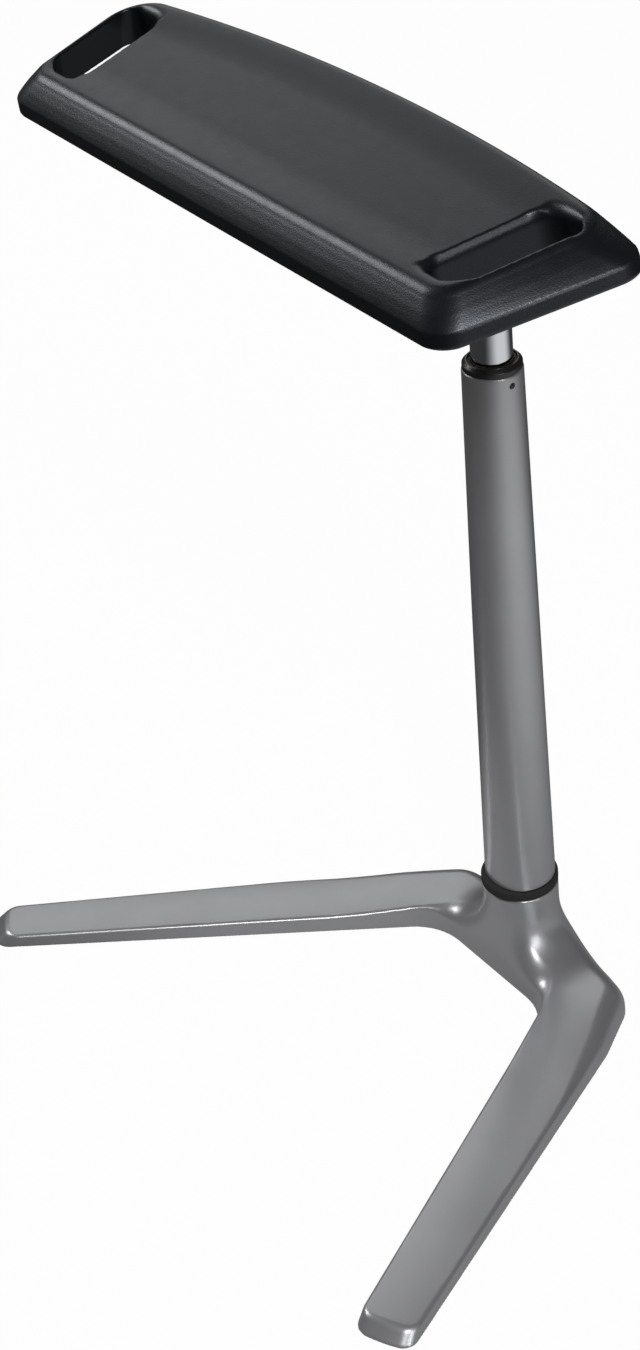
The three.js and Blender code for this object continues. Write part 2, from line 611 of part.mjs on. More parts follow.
// A cast arm: a tapered socket on the tube, a web forwards and a plate under the seat
function seatArm() {
  const plateTop = -SEAT_UNDER - GAP;
  const plateLow = plateTop - ARM_PLATE_THICKNESS;
  const outline = rounded(rectangle(ARM_PLATE_WIDTH, ARM_PLATE_LENGTH, 0, PLATE_MIDDLE, ARM_PLATE_CORNER));
  let plate = raised(outline, plateLow, plateTop);
  for (const [x, y] of screwPlaces) {
    const hole = bar(SCREW_RADIUS + GAP, plateLow - OVERRUN, plateTop + OVERRUN);
    plate = plate.subtract(placed(hole, shift(x, y, 0)));
  }
  const onSeat = (y, z) => {
    const point = new THREE.Vector3(0, y, z).applyMatrix4(seatFrame);
    return [point.y, point.z];
  };
  const [plateFront, plateBack] = [PLATE_MIDDLE - ARM_PLATE_LENGTH / 2, PLATE_MIDDLE + ARM_PLATE_LENGTH / 2];
  const socketLow = SOCKET_LIP - SOCKET_HEIGHT;
  const inSocket = -TUBE_RADIUS - GAP - EAR_THICKNESS / 2;
  const middle = plateLow + ARM_PLATE_THICKNESS / 2;
  const web = slab([
    [inSocket, socketLow], [inSocket, SOCKET_LIP], onSeat(plateBack, middle), onSeat(plateFront, middle),
    onSeat(plateFront, plateLow - ARM_TOE_HEIGHT),
  ], ARM_WEB_WIDTH);
  let arm = placed(plate, seatFrame).add(web).add(bar(SOCKET_RADIUS, socketLow, SOCKET_LIP, MEDIUM));
  const earY = LEVER_WIDTH / 2 + GAP + EAR_THICKNESS / 2;
  for (const side of [-1, 1]) {
    const ear = rounded(rectangle(EAR_WIDTH, EAR_THICKNESS, LEVER_PIVOT_X, side * earY, 0));
    arm = arm.add(raised(ear, socketLow, SOCKET_LIP + EAR_RISE));
  }
  const bore = turned([
    [0, socketLow - OVERRUN], [TUBE_RADIUS + GAP, socketLow - OVERRUN], [TUBE_RADIUS + GAP, -TAPER_LENGTH],
    [TUBE_RADIUS - TUBE_TAPER + GAP, 0], [TUBE_RADIUS - TUBE_TAPER + GAP, SOCKET_LIP + OVERRUN],
    [0, SOCKET_LIP + OVERRUN],
  ]);
  return arm.subtract(bore).subtract(pivotBar(PIVOT_RADIUS + GAP, OVERRUN));
}

// A bar along the lever's pivot, past both ears
function pivotBar(radius, past) {
  const half = LEVER_WIDTH / 2 + GAP + EAR_THICKNESS + past;
  const turn = new THREE.Matrix4().makeRotationX(Math.PI / 2);
  turn.setPosition(LEVER_PIVOT_X, 0, LEVER_HEIGHT + LEVER_THICKNESS / 2);
  return placed(bar(radius, -half, half), turn);
}

// A flat strip of even width along a bent centre line
function strip(line, width) {
  const half = width / 2;
  const sides = [[], []];
  line.forEach((point, i) => {
    const before = line[Math.max(0, i - 1)];
    const after = line[Math.min(line.length - 1, i + 1)];
    const a = point.clone().sub(before).normalize();
    const b = after.clone().sub(point).normalize();
    const heading = a.add(b).normalize();
    const lead = i === 0 ? b : point.clone().sub(before).normalize();
    const reach = half / heading.dot(lead);
    const normal = new THREE.Vector2(-heading.y, heading.x);
    sides[0].push(point.clone().addScaledVector(normal, reach));
    sides[1].unshift(point.clone().addScaledVector(normal, -reach));
  });
  return sides.flat();
}

function releaseLever() {
  const [low, high] = [LEVER_HEIGHT, LEVER_HEIGHT + LEVER_THICKNESS];
  const line = [
    [LEVER_NOSE, 0], [LEVER_KNEE_X, 0], [LEVER_BEND_X, LEVER_BEND_Y], [LEVER_END_X, LEVER_END_Y],
  ].map(([x, y]) => new THREE.Vector2(x, y));
  const shape = new THREE.Shape(strip(line, LEVER_WIDTH));
  const geometry = new THREE.ExtrudeGeometry(shape, { depth: high - low, bevelEnabled: false });
  const flat = placed(toSolid(geometry), shift(0, 0, low));
  const turn = new THREE.Matrix4().makeRotationX(Math.PI / 2);
  turn.setPosition(LEVER_PIVOT_X, 0, (low + high) / 2);
  const barrel = placed(bar(LEVER_BARREL_RADIUS, -LEVER_WIDTH / 2, LEVER_WIDTH / 2), turn);
  return flat.add(barrel).subtract(pivotBar(PIVOT_RADIUS + GAP, OVERRUN));
}

// A moulded grip pushed over the lever's end
function leverGrip() {
  const end = new THREE.Vector2(LEVER_END_X, LEVER_END_Y);
  const bend = new THREE.Vector2(LEVER_BEND_X, LEVER_BEND_Y);
  const heading = end.clone().sub(bend);
  const place = new THREE.Matrix4().makeRotationZ(heading.angle());
  place.setPosition(end.x, end.y, LEVER_HEIGHT + LEVER_THICKNESS / 2);
  const past = GRIP_THICKNESS;
  const middle = past - GRIP_LENGTH / 2;
  const outline = rounded(rectangle(GRIP_LENGTH, GRIP_WIDTH, middle, 0, GRIP_WIDTH / 3));
  const body = raised(outline, -GRIP_THICKNESS / 2, GRIP_THICKNESS / 2);
  const [pocketHalf, pocketWide] = [LEVER_THICKNESS / 2 + GAP, LEVER_WIDTH + 2 * GAP];
  const pocketLength = GRIP_LENGTH - past + GAP;
  const pocketMiddle = GAP - (pocketLength + OVERRUN) / 2;
  const pocket = rounded(rectangle(pocketLength + OVERRUN, pocketWide, pocketMiddle, 0, 0));
  return placed(body.subtract(raised(pocket, -pocketHalf, pocketHalf)), place);
}

// The seat's outline, drawn in by shares of its slopes and by an even margin
function seatOutline(lean, margin) {
  const front = lean * FRONT_SLOPE + margin;
  const back = SEAT_DEPTH - lean * BACK_SLOPE - margin;
  const halfFront = SEAT_FRONT_LENGTH / 2 - lean * END_FRONT_SLOPE - margin;
  const halfBack = SEAT_BACK_LENGTH / 2 - lean * END_BACK_SLOPE - margin;
  const frontCorner = SEAT_FRONT_CORNER - margin / 3;
  const backCorner = THREE.MathUtils.lerp(SEAT_BACK_LOW_CORNER, SEAT_BACK_RIM_CORNER, lean) - margin / 3;
  const corners = [[-halfFront, front, frontCorner], [halfFront, front, frontCorner], [halfBack, back, backCorner]];
  const bowRadius = (halfBack ** 2 + SEAT_BACK_BOW ** 2) / (2 * SEAT_BACK_BOW);
  for (let i = 1; i < BACK_STATIONS; i += 1) {
    const x = halfBack * (1 - (2 * i) / BACK_STATIONS);
    corners.push([x, back + Math.sqrt(bowRadius ** 2 - x ** 2) - (bowRadius - SEAT_BACK_BOW), 0]);
  }
  corners.push([-halfBack, back, backCorner]);
  return rounded(corners);
}

// Rings of the seat from its underside to its dished top, as [height, lean, margin]
function seatRings() {
  const rings = [[-SEAT_UNDER, 0, SEAT_UNDER_SET_IN], [-SEAT_UNDER / 2, 0, SEAT_UNDER_SET_IN / 3]];
  for (const [height, lean] of SIDE_SHARES) rings.push([SEAT_HEIGHT * height, lean, 0]);
  rings.push([SEAT_HEIGHT - RIM_RADIUS / 3, 1, RIM_RADIUS / 3]);
  rings.push([SEAT_HEIGHT, 1, RIM_RADIUS]);
  rings.push([SEAT_HEIGHT - SEAT_DISH, 1, DISH_MARGIN]);
  return rings;
}

// A grip slot's cutter: straight walls that roll out at the seat's surface
function slotCutter(side) {
  const rimX = (y) => THREE.MathUtils.mapLinear(
    y, FRONT_SLOPE, SEAT_DEPTH - BACK_SLOPE,
    SEAT_FRONT_LENGTH / 2 - END_FRONT_SLOPE, SEAT_BACK_LENGTH / 2 - END_BACK_SLOPE,
  );
  const loop = (z, rollShare) => {
    const [inner, end, out] = [SLOT_INNER_ROLL, SLOT_END_ROLL, SLOT_OUTER_ROLL].map((roll) => roll * rollShare);
    const corners = [
      [SLOT_FRONT_INNER_X - inner, SLOT_FRONT - end, SLOT_CORNER + end],
      [rimX(SLOT_FRONT) - SLOT_RIM + out, SLOT_FRONT - end, SLOT_CORNER + end],
      [rimX(SLOT_BACK) - SLOT_RIM + out, SLOT_BACK + end, SLOT_CORNER + end],
      [SLOT_BACK_INNER_X - inner, SLOT_BACK + end, SLOT_CORNER + end],
    ];
    return rounded(corners).map((p) => new THREE.Vector3(side * p.x, p.y, z));
  };
  const rings = [loop(-SEAT_UNDER - OVERRUN, 0), loop(SEAT_HEIGHT - SLOT_INNER_ROLL, 0)];
  for (const turn of [1 / 3, 2 / 3, 1]) {
    const angle = (turn * Math.PI) / 2;
    const rollShare = 1 - Math.cos(angle);
    rings.push(loop(SEAT_HEIGHT - SLOT_INNER_ROLL * (1 - Math.sin(angle)), rollShare));
  }
  rings.push(loop(SEAT_HEIGHT + OVERRUN, 1));
  return lofted(rings);
}

function seatPad() {
  const rings = seatRings().map(([z, lean, margin]) => (
    seatOutline(lean, margin).map((p) => new THREE.Vector3(p.x, p.y, z))
  ));
  const pocket = rounded(rectangle(BOARD_LENGTH + 2 * GAP, BOARD_DEPTH + 2 * GAP, 0, PLATE_MIDDLE, BOARD_CORNER));
  const pocketTop = BOARD_THICKNESS - SEAT_UNDER + GAP;
  return lofted(rings)
    .subtract(slotCutter(-1))
    .subtract(slotCutter(1))
    .subtract(raised(pocket, -SEAT_UNDER - OVERRUN, pocketTop));
}

function buildSeat(parent) {
  add(parent, 'seat_pad', seatPad(), blackFoam);
  const boardTop = BOARD_THICKNESS - SEAT_UNDER;
  const outline = rounded(rectangle(BOARD_LENGTH, BOARD_DEPTH, 0, PLATE_MIDDLE, BOARD_CORNER));
  let plank = raised(outline, -SEAT_UNDER, boardTop);
  for (const [x, y] of screwPlaces) {
    const hole = bar(INSERT_RADIUS + GAP, -SEAT_UNDER - OVERRUN, boardTop + OVERRUN);
    plank = plank.subtract(placed(hole, shift(x, y, 0)));
  }
  add(parent, 'seat_board', plank, board);
  const headTop = -SEAT_UNDER - ARM_PLATE_THICKNESS - 2 * GAP;
  screwPlaces.forEach(([x, y], i) => {
    const insert = ring(SCREW_RADIUS + GAP, INSERT_RADIUS, -SEAT_UNDER, boardTop, COARSE);
    add(parent, `seat_insert_${i + 1}`, insert, steel).position.set(x, y, 0);
    const shank = bar(SCREW_RADIUS, headTop - SCREW_HEAD_HEIGHT / 2, boardTop);
    const head = bar(SCREW_HEAD_RADIUS, headTop - SCREW_HEAD_HEIGHT, headTop);
    add(parent, `seat_screw_${i + 1}`, shank.add(head), darkSteel).position.set(x, y, 0);
  });
}

function framed(parent, matrix) {
  const group = new THREE.Group();
  group.applyMatrix4(matrix);
  parent.add(group);
  return group;
}

const model = new THREE.Group();
stool.add(model);
buildBase(model);
const column = framed(model, columnFrame);
buildBearing(column);
const { guideLow, plugTop } = buildColumn(column);
buildGuide(column, guideLow);
buildRod(column, plugTop);
const lift = framed(column, shift(0, 0, TUBE_TOP));
buildTube(lift);
add(lift, 'seat_arm', seatArm(), darkSteel);
add(lift, 'lever_pivot_pin', pivotBar(PIVOT_RADIUS, PIVOT_HEAD), steel);
add(lift, 'release_lever', releaseLever(), darkSteel);
add(lift, 'lever_grip', leverGrip(), blackPlastic);
buildSeat(framed(lift, seatFrame));

// The origin is the middle of the whole stool's footprint, on the floor
const box = new THREE.Box3().setFromObject(stool, true);
model.position.set(0, -(box.min.y + box.max.y) / 2, -box.min.z);

export default stool;
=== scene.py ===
"""A perch stool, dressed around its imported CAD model.

Sizes in the classes are millimetres, as in the part's source, and each mesh is written in metres. The studio is
in metres. The base and the seat are shapes given by one formula that says how far a point is outside them. The
round pieces are profiles carried round an axis. Small pieces are copies of the CAD solids with eased edges.
"""

import itertools
import json
import logging
import math
from collections.abc import Callable
from dataclasses import dataclass, field
from enum import Enum

import bmesh
import bpy
import numpy as np
from mathutils import Matrix, Vector


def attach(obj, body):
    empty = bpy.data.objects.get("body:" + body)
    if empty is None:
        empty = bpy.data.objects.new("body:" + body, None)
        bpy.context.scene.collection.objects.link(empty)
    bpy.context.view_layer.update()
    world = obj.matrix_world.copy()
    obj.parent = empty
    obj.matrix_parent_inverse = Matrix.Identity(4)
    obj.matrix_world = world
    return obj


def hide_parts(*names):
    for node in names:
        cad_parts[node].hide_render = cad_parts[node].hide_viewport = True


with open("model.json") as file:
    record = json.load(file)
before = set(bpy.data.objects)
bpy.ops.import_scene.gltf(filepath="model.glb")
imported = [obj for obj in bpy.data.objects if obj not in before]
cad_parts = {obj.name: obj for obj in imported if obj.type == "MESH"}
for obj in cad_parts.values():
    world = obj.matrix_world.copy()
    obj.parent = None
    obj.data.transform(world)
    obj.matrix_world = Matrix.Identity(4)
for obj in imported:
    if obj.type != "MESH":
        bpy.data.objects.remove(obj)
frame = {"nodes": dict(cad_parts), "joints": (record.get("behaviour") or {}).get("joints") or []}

log = logging.getLogger("perch_stool")

Array = np.ndarray
Field = Callable[[Array, Array, Array], Array]
Point = tuple[float, float]
Colour = tuple[float, float, float]

MM = 0.001
WHITE = (1.0, 1.0, 1.0, 1.0)
GAP = 0.3  # between pieces that touch, as in the CAD model
TUBE_OUT = 126.0  # how far the gas tube's top stands above the column's
SEAT_REACH = 202.0  # from the tube's axis forward to the pad's front edge
SEAT_RISE = 46.0  # from the tube's top up to the pad's lower edge
SEAT_TILT = 10.52  # degrees, on top of the column's lean
FLAT_TURN = 0.5  # degrees between triangles that are one flat face
SHARP_TURN = 40  # degrees between faces whose shared edge is eased
LEAST_SLOPE = 0.3  # keeps a point still where a field is nearly level


def mix(low: Array | float, high: Array | float, share: Array | float) -> Array | float:
    """The value that lies a share of the way from low to high."""
    return low + (high - low) * share


def smooth(value: Array | float, low: float, high: float) -> Array | float:
    """A step from 0 at low to 1 at high with level ends: 3t^2 - 2t^3."""
    t = np.clip((value - low) / (high - low), 0.0, 1.0)
    return t * t * (3.0 - 2.0 * t)


def both(a: Array, b: Array, radius: Array | float) -> Array:
    """What is inside two shapes, with their shared edge rounded to a radius.

    Inside the corner square of side radius the value is the distance to its inner corner less the radius.

    Args:
        a: How far each point is outside the first shape.
        b: The same for the second shape.
        radius: Radius of the rounded edge.

    Returns:
        How far each point is outside both shapes together.
    """
    corner = np.hypot(np.maximum(a + radius, 0.0), np.maximum(b + radius, 0.0))
    return np.minimum(np.maximum(a, b), -radius) + corner


def either(a: Array, b: Array, reach: float) -> Array:
    """Two shapes flowing into each other.

    The smaller of the two values, lowered by a parabola of height reach / 4 where they are within reach of each
    other.

    Args:
        a: How far each point is outside the first shape.
        b: The same for the second shape.
        reach: How far apart the values still blend.

    Returns:
        How far each point is outside the joined shape.
    """
    share = np.clip(0.5 + 0.5 * (b - a) / reach, 0.0, 1.0)
    return mix(b, a, share) - reach * share * (1.0 - share)


def arc_corners(corners: list[tuple[float, float, float]], closed: bool = True, steps: int = 6) -> Array:
    """An outline with an arc at each corner that has a radius.

    The arc's centre lies on the bisector, radius / sin(half angle) from the corner, and its points turn evenly
    between the two tangent points.

    Args:
        corners: Each corner as (first, second, radius).
        closed: Whether the last corner joins the first.
        steps: Number of steps of each arc.

    Returns:
        The outline's points, one row each.
    """
    points: list[Array] = []
    last = len(corners) - 1
    for i, (a, b, radius) in enumerate(corners):
        corner = np.array((a, b))
        if radius == 0 or (not closed and i in (0, last)):
            points.append(corner)
            continue
        back = np.array(corners[i - 1][:2]) - corner
        ahead = np.array(corners[(i + 1) % len(corners)][:2]) - corner
        back, ahead = back / np.linalg.norm(back), ahead / np.linalg.norm(ahead)
        half = math.acos(float(np.clip(back @ ahead, -1.0, 1.0))) / 2
        middle = (back + ahead) / np.linalg.norm(back + ahead)
        centre = corner + middle * radius / math.sin(half)
        start = corner + back * radius / math.tan(half) - centre
        end = corner + ahead * radius / math.tan(half) - centre
        sweep = math.pi - 2 * half
        turn = np.linspace(0.0, 1.0, steps + 1)[:, None]
        arc = (start * np.sin((1 - turn) * sweep) + end * np.sin(turn * sweep)) / math.sin(sweep)
        points.extend(arc + centre)
    return np.array(points)


@dataclass(frozen=True)
class Placement:
    """Axes turned and moved in the row frame: a local point p lies at origin + axes p."""

    origin: Array
    axes: Array

    def out(self, points: Array) -> Array:
        """Local points in the row frame."""
        return points @ self.axes.T + self.origin

    def moved(self, x: float, y: float, z: float, turn_x: float = 0.0) -> "Placement":
        """The same axes moved along themselves and then turned about their own X.

        Args:
            x: Move along the local X axis.
            y: Move along the local Y axis.
            z: Move along the local Z axis.
            turn_x: Turn about X, in degrees.

        Returns:
            The new placement.
        """
        c, s = math.cos(math.radians(turn_x)), math.sin(math.radians(turn_x))
        turn = np.array(((1, 0, 0), (0, c, -s), (0, s, c)))
        return Placement(self.out(np.array((x, y, z))), self.axes @ turn)


def add_node(tree: bpy.types.NodeTree, kind: str, sockets: dict[str | int, object],
             **choices: str) -> bpy.types.Node:
    """A shader node with its choices made and its sockets filled.

    Args:
        tree: The nodes that it joins.
        kind: The node's kind, without its prefix.
        sockets: A number, a colour or another node's output for each input.
        choices: The node's own settings.

    Returns:
        The node.
    """
    made = tree.nodes.new("ShaderNode" + kind)
    for name, value in choices.items():
        setattr(made, name, value)
    for name, value in sockets.items():
        if isinstance(value, bpy.types.NodeSocket):
            tree.links.new(value, made.inputs[name])
        else:
            made.inputs[name].default_value = value
    return made


def add_math(tree: bpy.types.NodeTree, kind: str, *values: bpy.types.NodeSocket | float) -> bpy.types.NodeSocket:
    """The result of a Math node of a kind on values in order."""
    return add_node(tree, "Math", dict(enumerate(values)), operation=kind).outputs[0]


class Pattern(Enum):
    """Fine surface forms that a finish can have."""

    GRAIN = "leather-like grain of closed foam skin"
    PEEL = "soft waviness of a powder coat"
    TURNED = "fine lines round the piece"
    FIBRES = "matted fibres"
    PLIES = "wood veneer"


@dataclass(frozen=True)
class Finish:
    """A procedural finish on Object coordinates, so that its scale is in real millimetres.

    Patch and grain are the widths of its broad and fine features, and depth is the height of its pattern.
    """

    name: str
    colour: Colour
    pattern: Pattern
    metallic: float = 0.0
    roughness: float = 0.5
    roughness_spread: float = 0.06
    shade_spread: float = 0.12
    patch: float = 40.0
    grain: float = 0.8
    depth: float = 0.03
    coat: float = 0.0
    coat_roughness: float = 0.2
    specular: float = 0.5
    gloss_tint: Colour = (1.0, 1.0, 1.0)
    fine_share: float = 0.35
    shade_span: Point = (0.4, 0.95)

    def material(self) -> bpy.types.Material:
        """The finish as a material, made once.

        Returns:
            The material.
        """
        found = bpy.data.materials.get(self.name)
        if found:
            return found
        made = bpy.data.materials.new(self.name)
        made.use_nodes = True
        tree = made.node_tree
        shader = tree.nodes["Principled BSDF"].inputs
        shader["Metallic"].default_value = self.metallic
        shader["Coat Weight"].default_value = self.coat
        shader["Coat Roughness"].default_value = self.coat_roughness
        shader["Specular IOR Level"].default_value = self.specular
        shader["Specular Tint"].default_value = (*self.gloss_tint, 1.0)
        place = add_node(tree, "TexCoord", {}).outputs["Object"]
        tree.links.new(self._colour(tree, place), shader["Base Color"])
        tree.links.new(self._roughness(tree, place), shader["Roughness"])
        tree.links.new(self._bump(tree, place), shader["Normal"])
        return made

    def _noise(self, tree: bpy.types.NodeTree, place: bpy.types.NodeSocket, size: float,
               detail: float) -> bpy.types.Node:
        """A noise whose features are about size millimetres wide."""
        return add_node(tree, "TexNoise", {"Vector": place, "Scale": 1.0 / (size * MM), "Detail": detail})

    def _colour(self, tree: bpy.types.NodeTree, place: bpy.types.NodeSocket) -> bpy.types.NodeSocket:
        """Broad and fine patches between a darker and a lighter shade of the colour.

        Args:
            tree: The material's nodes.
            place: Where on the piece it is read.

        Returns:
            The colour.
        """
        broad = self._noise(tree, place, self.patch, 3.0).outputs["Fac"]
        fine = self._noise(tree, place, self.grain * 1.5, 2.0).outputs["Fac"]
        ramp = add_node(tree, "ValToRGB", {"Fac": add_math(tree, "MULTIPLY_ADD", fine, self.fine_share, broad)})
        low, high = ramp.color_ramp.elements
        low.position, high.position = self.shade_span
        low.color = (*(c * (1 - self.shade_spread) for c in self.colour), 1.0)
        high.color = (*(min(1.0, c * (1 + self.shade_spread)) for c in self.colour), 1.0)
        return ramp.outputs["Color"]

    def _roughness(self, tree: bpy.types.NodeTree, place: bpy.types.NodeSocket) -> bpy.types.NodeSocket:
        """Roughness that wanders either side of its mean.

        Args:
            tree: The material's nodes.
            place: Where on the piece it is read.

        Returns:
            The roughness.
        """
        noise = self._noise(tree, place, self.patch / 3, 4.0).outputs["Fac"]
        low = max(0.02, self.roughness - self.roughness_spread)
        high = min(1.0, self.roughness + self.roughness_spread)
        return add_node(tree, "MapRange", {"Value": noise, "To Min": low, "To Max": high}).outputs["Result"]

    def _bump(self, tree: bpy.types.NodeTree, place: bpy.types.NodeSocket) -> bpy.types.NodeSocket:
        """The pattern's height, turned into a bump of the finish's depth.

        Args:
            tree: The material's nodes.
            place: Where on the piece it is read.

        Returns:
            The bumped normal.
        """
        if self.pattern is Pattern.GRAIN:
            warp = self._noise(tree, place, self.grain * 6, 2.0).outputs["Color"]
            sway = (self.grain * MM * 2,) * 3
            shift = add_node(tree, "VectorMath", {0: warp, 1: sway, 2: place}, operation="MULTIPLY_ADD")
            sockets = {"Vector": shift.outputs["Vector"], "Scale": 1.0 / (self.grain * MM), "Smoothness": 0.6}
            height = add_node(tree, "TexVoronoi", sockets, feature="SMOOTH_F1").outputs["Distance"]
        elif self.pattern in (Pattern.TURNED, Pattern.PLIES):
            along = (0.04, 1.0, 1.0) if self.pattern is Pattern.PLIES else (0.02, 0.02, 1.0)
            stretch = add_node(tree, "Mapping", {"Vector": place, "Scale": along}).outputs["Vector"]
            height = self._noise(tree, stretch, self.grain, 4.0).outputs["Fac"]
        else:
            detail = 8.0 if self.pattern is Pattern.FIBRES else 1.5
            height = self._noise(tree, place, self.grain, detail).outputs["Fac"]
        bump = add_node(tree, "Bump", {"Strength": 1.0, "Distance": self.depth * MM, "Height": height})
        return bump.outputs["Normal"]


SILVER = Finish("silver_powder_coat", (0.36, 0.363, 0.377), Pattern.PEEL, 0.62, 0.36, 0.03, 0.05, 60, 0.5, 0.006,
                coat=0.4, coat_roughness=0.2)
FOAM = Finish("foam_skin", (0.0030, 0.0037, 0.0050), Pattern.GRAIN, 0.0, 0.37, 0.05, 0.16, 30, 0.9, 0.05,
              specular=0.42, gloss_tint=(0.86, 0.91, 1.0))
CHROME = Finish("tube_chrome", (0.62, 0.63, 0.66), Pattern.TURNED, 1.0, 0.06, 0.02, 0.02, 30, 0.6, 0.0008)
ZINC = Finish("zinc_plate", (0.42, 0.42, 0.4), Pattern.TURNED, 0.9, 0.34, 0.08, 0.1, 12, 0.4, 0.004)
BLACK_STEEL = Finish("black_coated_steel", (0.022, 0.022, 0.023), Pattern.PEEL, 0.2, 0.42, 0.06, 0.15, 25, 0.6,
                     0.012)
BLACK_PLASTIC = Finish("black_moulding", (0.012, 0.012, 0.013), Pattern.PEEL, 0.0, 0.34, 0.06, 0.12, 12, 0.35,
                       0.01)
RUBBER = Finish("black_rubber", (0.006, 0.0063, 0.007), Pattern.GRAIN, 0.0, 0.5, 0.08, 0.15, 10, 0.5, 0.012,
                specular=0.25)
FELT = Finish("oiled_felt", (0.085, 0.06, 0.035), Pattern.FIBRES, 0.0, 0.85, 0.08, 0.3, 4, 0.25, 0.08)
PLYWOOD = Finish("plywood", (0.34, 0.23, 0.13), Pattern.PLIES, 0.0, 0.62, 0.08, 0.18, 8, 1.4, 0.03)


def add_piece(name: str, points: Array, faces: Array, finish: Finish, body: str, nodes: list[str],
              merge: bool = False) -> bpy.types.Object:
    """Puts a closed surface in the scene as a smooth piece of a CAD body.

    Args:
        name: The piece's name.
        points: Vertices in the row frame, in millimetres, one row each.
        faces: Vertex numbers, four to a face.
        finish: The piece's finish.
        body: The CAD body it rides on.
        nodes: CAD nodes that it stands for.
        merge: Whether points that coincide become one, as at a pole.

    Returns:
        The new object.
    """
    mesh = bpy.data.meshes.new(name)
    mesh.vertices.add(len(points))
    mesh.vertices.foreach_set("co", (points * MM).astype(np.float32).ravel())
    mesh.loops.add(faces.size)
    mesh.loops.foreach_set("vertex_index", faces.astype(np.int32).ravel())
    mesh.polygons.add(len(faces))
    mesh.polygons.foreach_set("loop_start", np.arange(0, faces.size, 4, dtype=np.int32))
    mesh.polygons.foreach_set("loop_total", np.full(len(faces), 4, dtype=np.int32))
    mesh.update(calc_edges=True)
    mesh.validate()
    if merge:
        shape = bmesh.new()
        shape.from_mesh(mesh)
        bmesh.ops.remove_doubles(shape, verts=shape.verts, dist=1e-6)
        bmesh.ops.recalc_face_normals(shape, faces=shape.faces)
        shape.to_mesh(mesh)
        shape.free()
    mesh.shade_smooth()
    return settle(bpy.data.objects.new(name, mesh), finish, body, nodes)


def settle(piece: bpy.types.Object, finish: Finish, body: str, nodes: list[str]) -> bpy.types.Object:
    """Links a finished object, dresses it and ties it to the CAD model.

    Args:
        piece: The object.
        finish: Its finish.
        body: The CAD body it rides on.
        nodes: CAD nodes that it stands for.

    Returns:
        The same object.
    """
    bpy.context.scene.collection.objects.link(piece)
    piece.data.materials.clear()
    piece.data.materials.append(finish.material())
    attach(piece, body)
    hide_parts(*nodes)
    log.info("%s: %d faces on %s", piece.name, len(piece.data.polygons), body)
    return piece


def grid_faces(rows: int, columns: int) -> Array:
    """Faces of a grid of points that closes on itself both ways, numbered row by row.

    Args:
        rows: Number of rows.
        columns: Number of points in a row.

    Returns:
        Four point numbers for each face.
    """
    k, j = np.meshgrid(np.arange(rows), np.arange(columns), indexing="ij")
    below, above = k * columns, ((k + 1) % rows) * columns
    right = (j + 1) % columns
    return np.stack((below + j, below + right, above + right, above + j), -1).reshape(-1, 4)


def turned(name: str, profile: list[tuple[float, float, float]], place: Placement, finish: Finish, body: str,
           nodes: list[str], turns: int = 128) -> bpy.types.Object:
    """A closed profile carried round the placement's Z axis.

    A point (r, z) of the profile goes to (r cos t, r sin t, z) for each angle t of a full turn.

    Args:
        name: The piece's name.
        profile: Corners as (radius, height, rounding), anticlockwise with radius to the right and height up.
        place: Where the axis is.
        finish: The piece's finish.
        body: The CAD body it rides on.
        nodes: CAD nodes that it stands for.
        turns: Number of steps round the axis.

    Returns:
        The new object.
    """
    outline = arc_corners(profile)
    angle = np.linspace(0.0, 2 * math.pi, turns, endpoint=False)
    radius, height = outline[:, :1], outline[:, 1:]
    flat = radius * np.cos(angle), radius * np.sin(angle)
    local = np.stack((*flat, np.broadcast_to(height, (len(outline), turns))), -1)
    points = place.out(local.reshape(-1, 3))
    return add_piece(name, points, grid_faces(len(outline), turns), finish, body, nodes, merge=True)


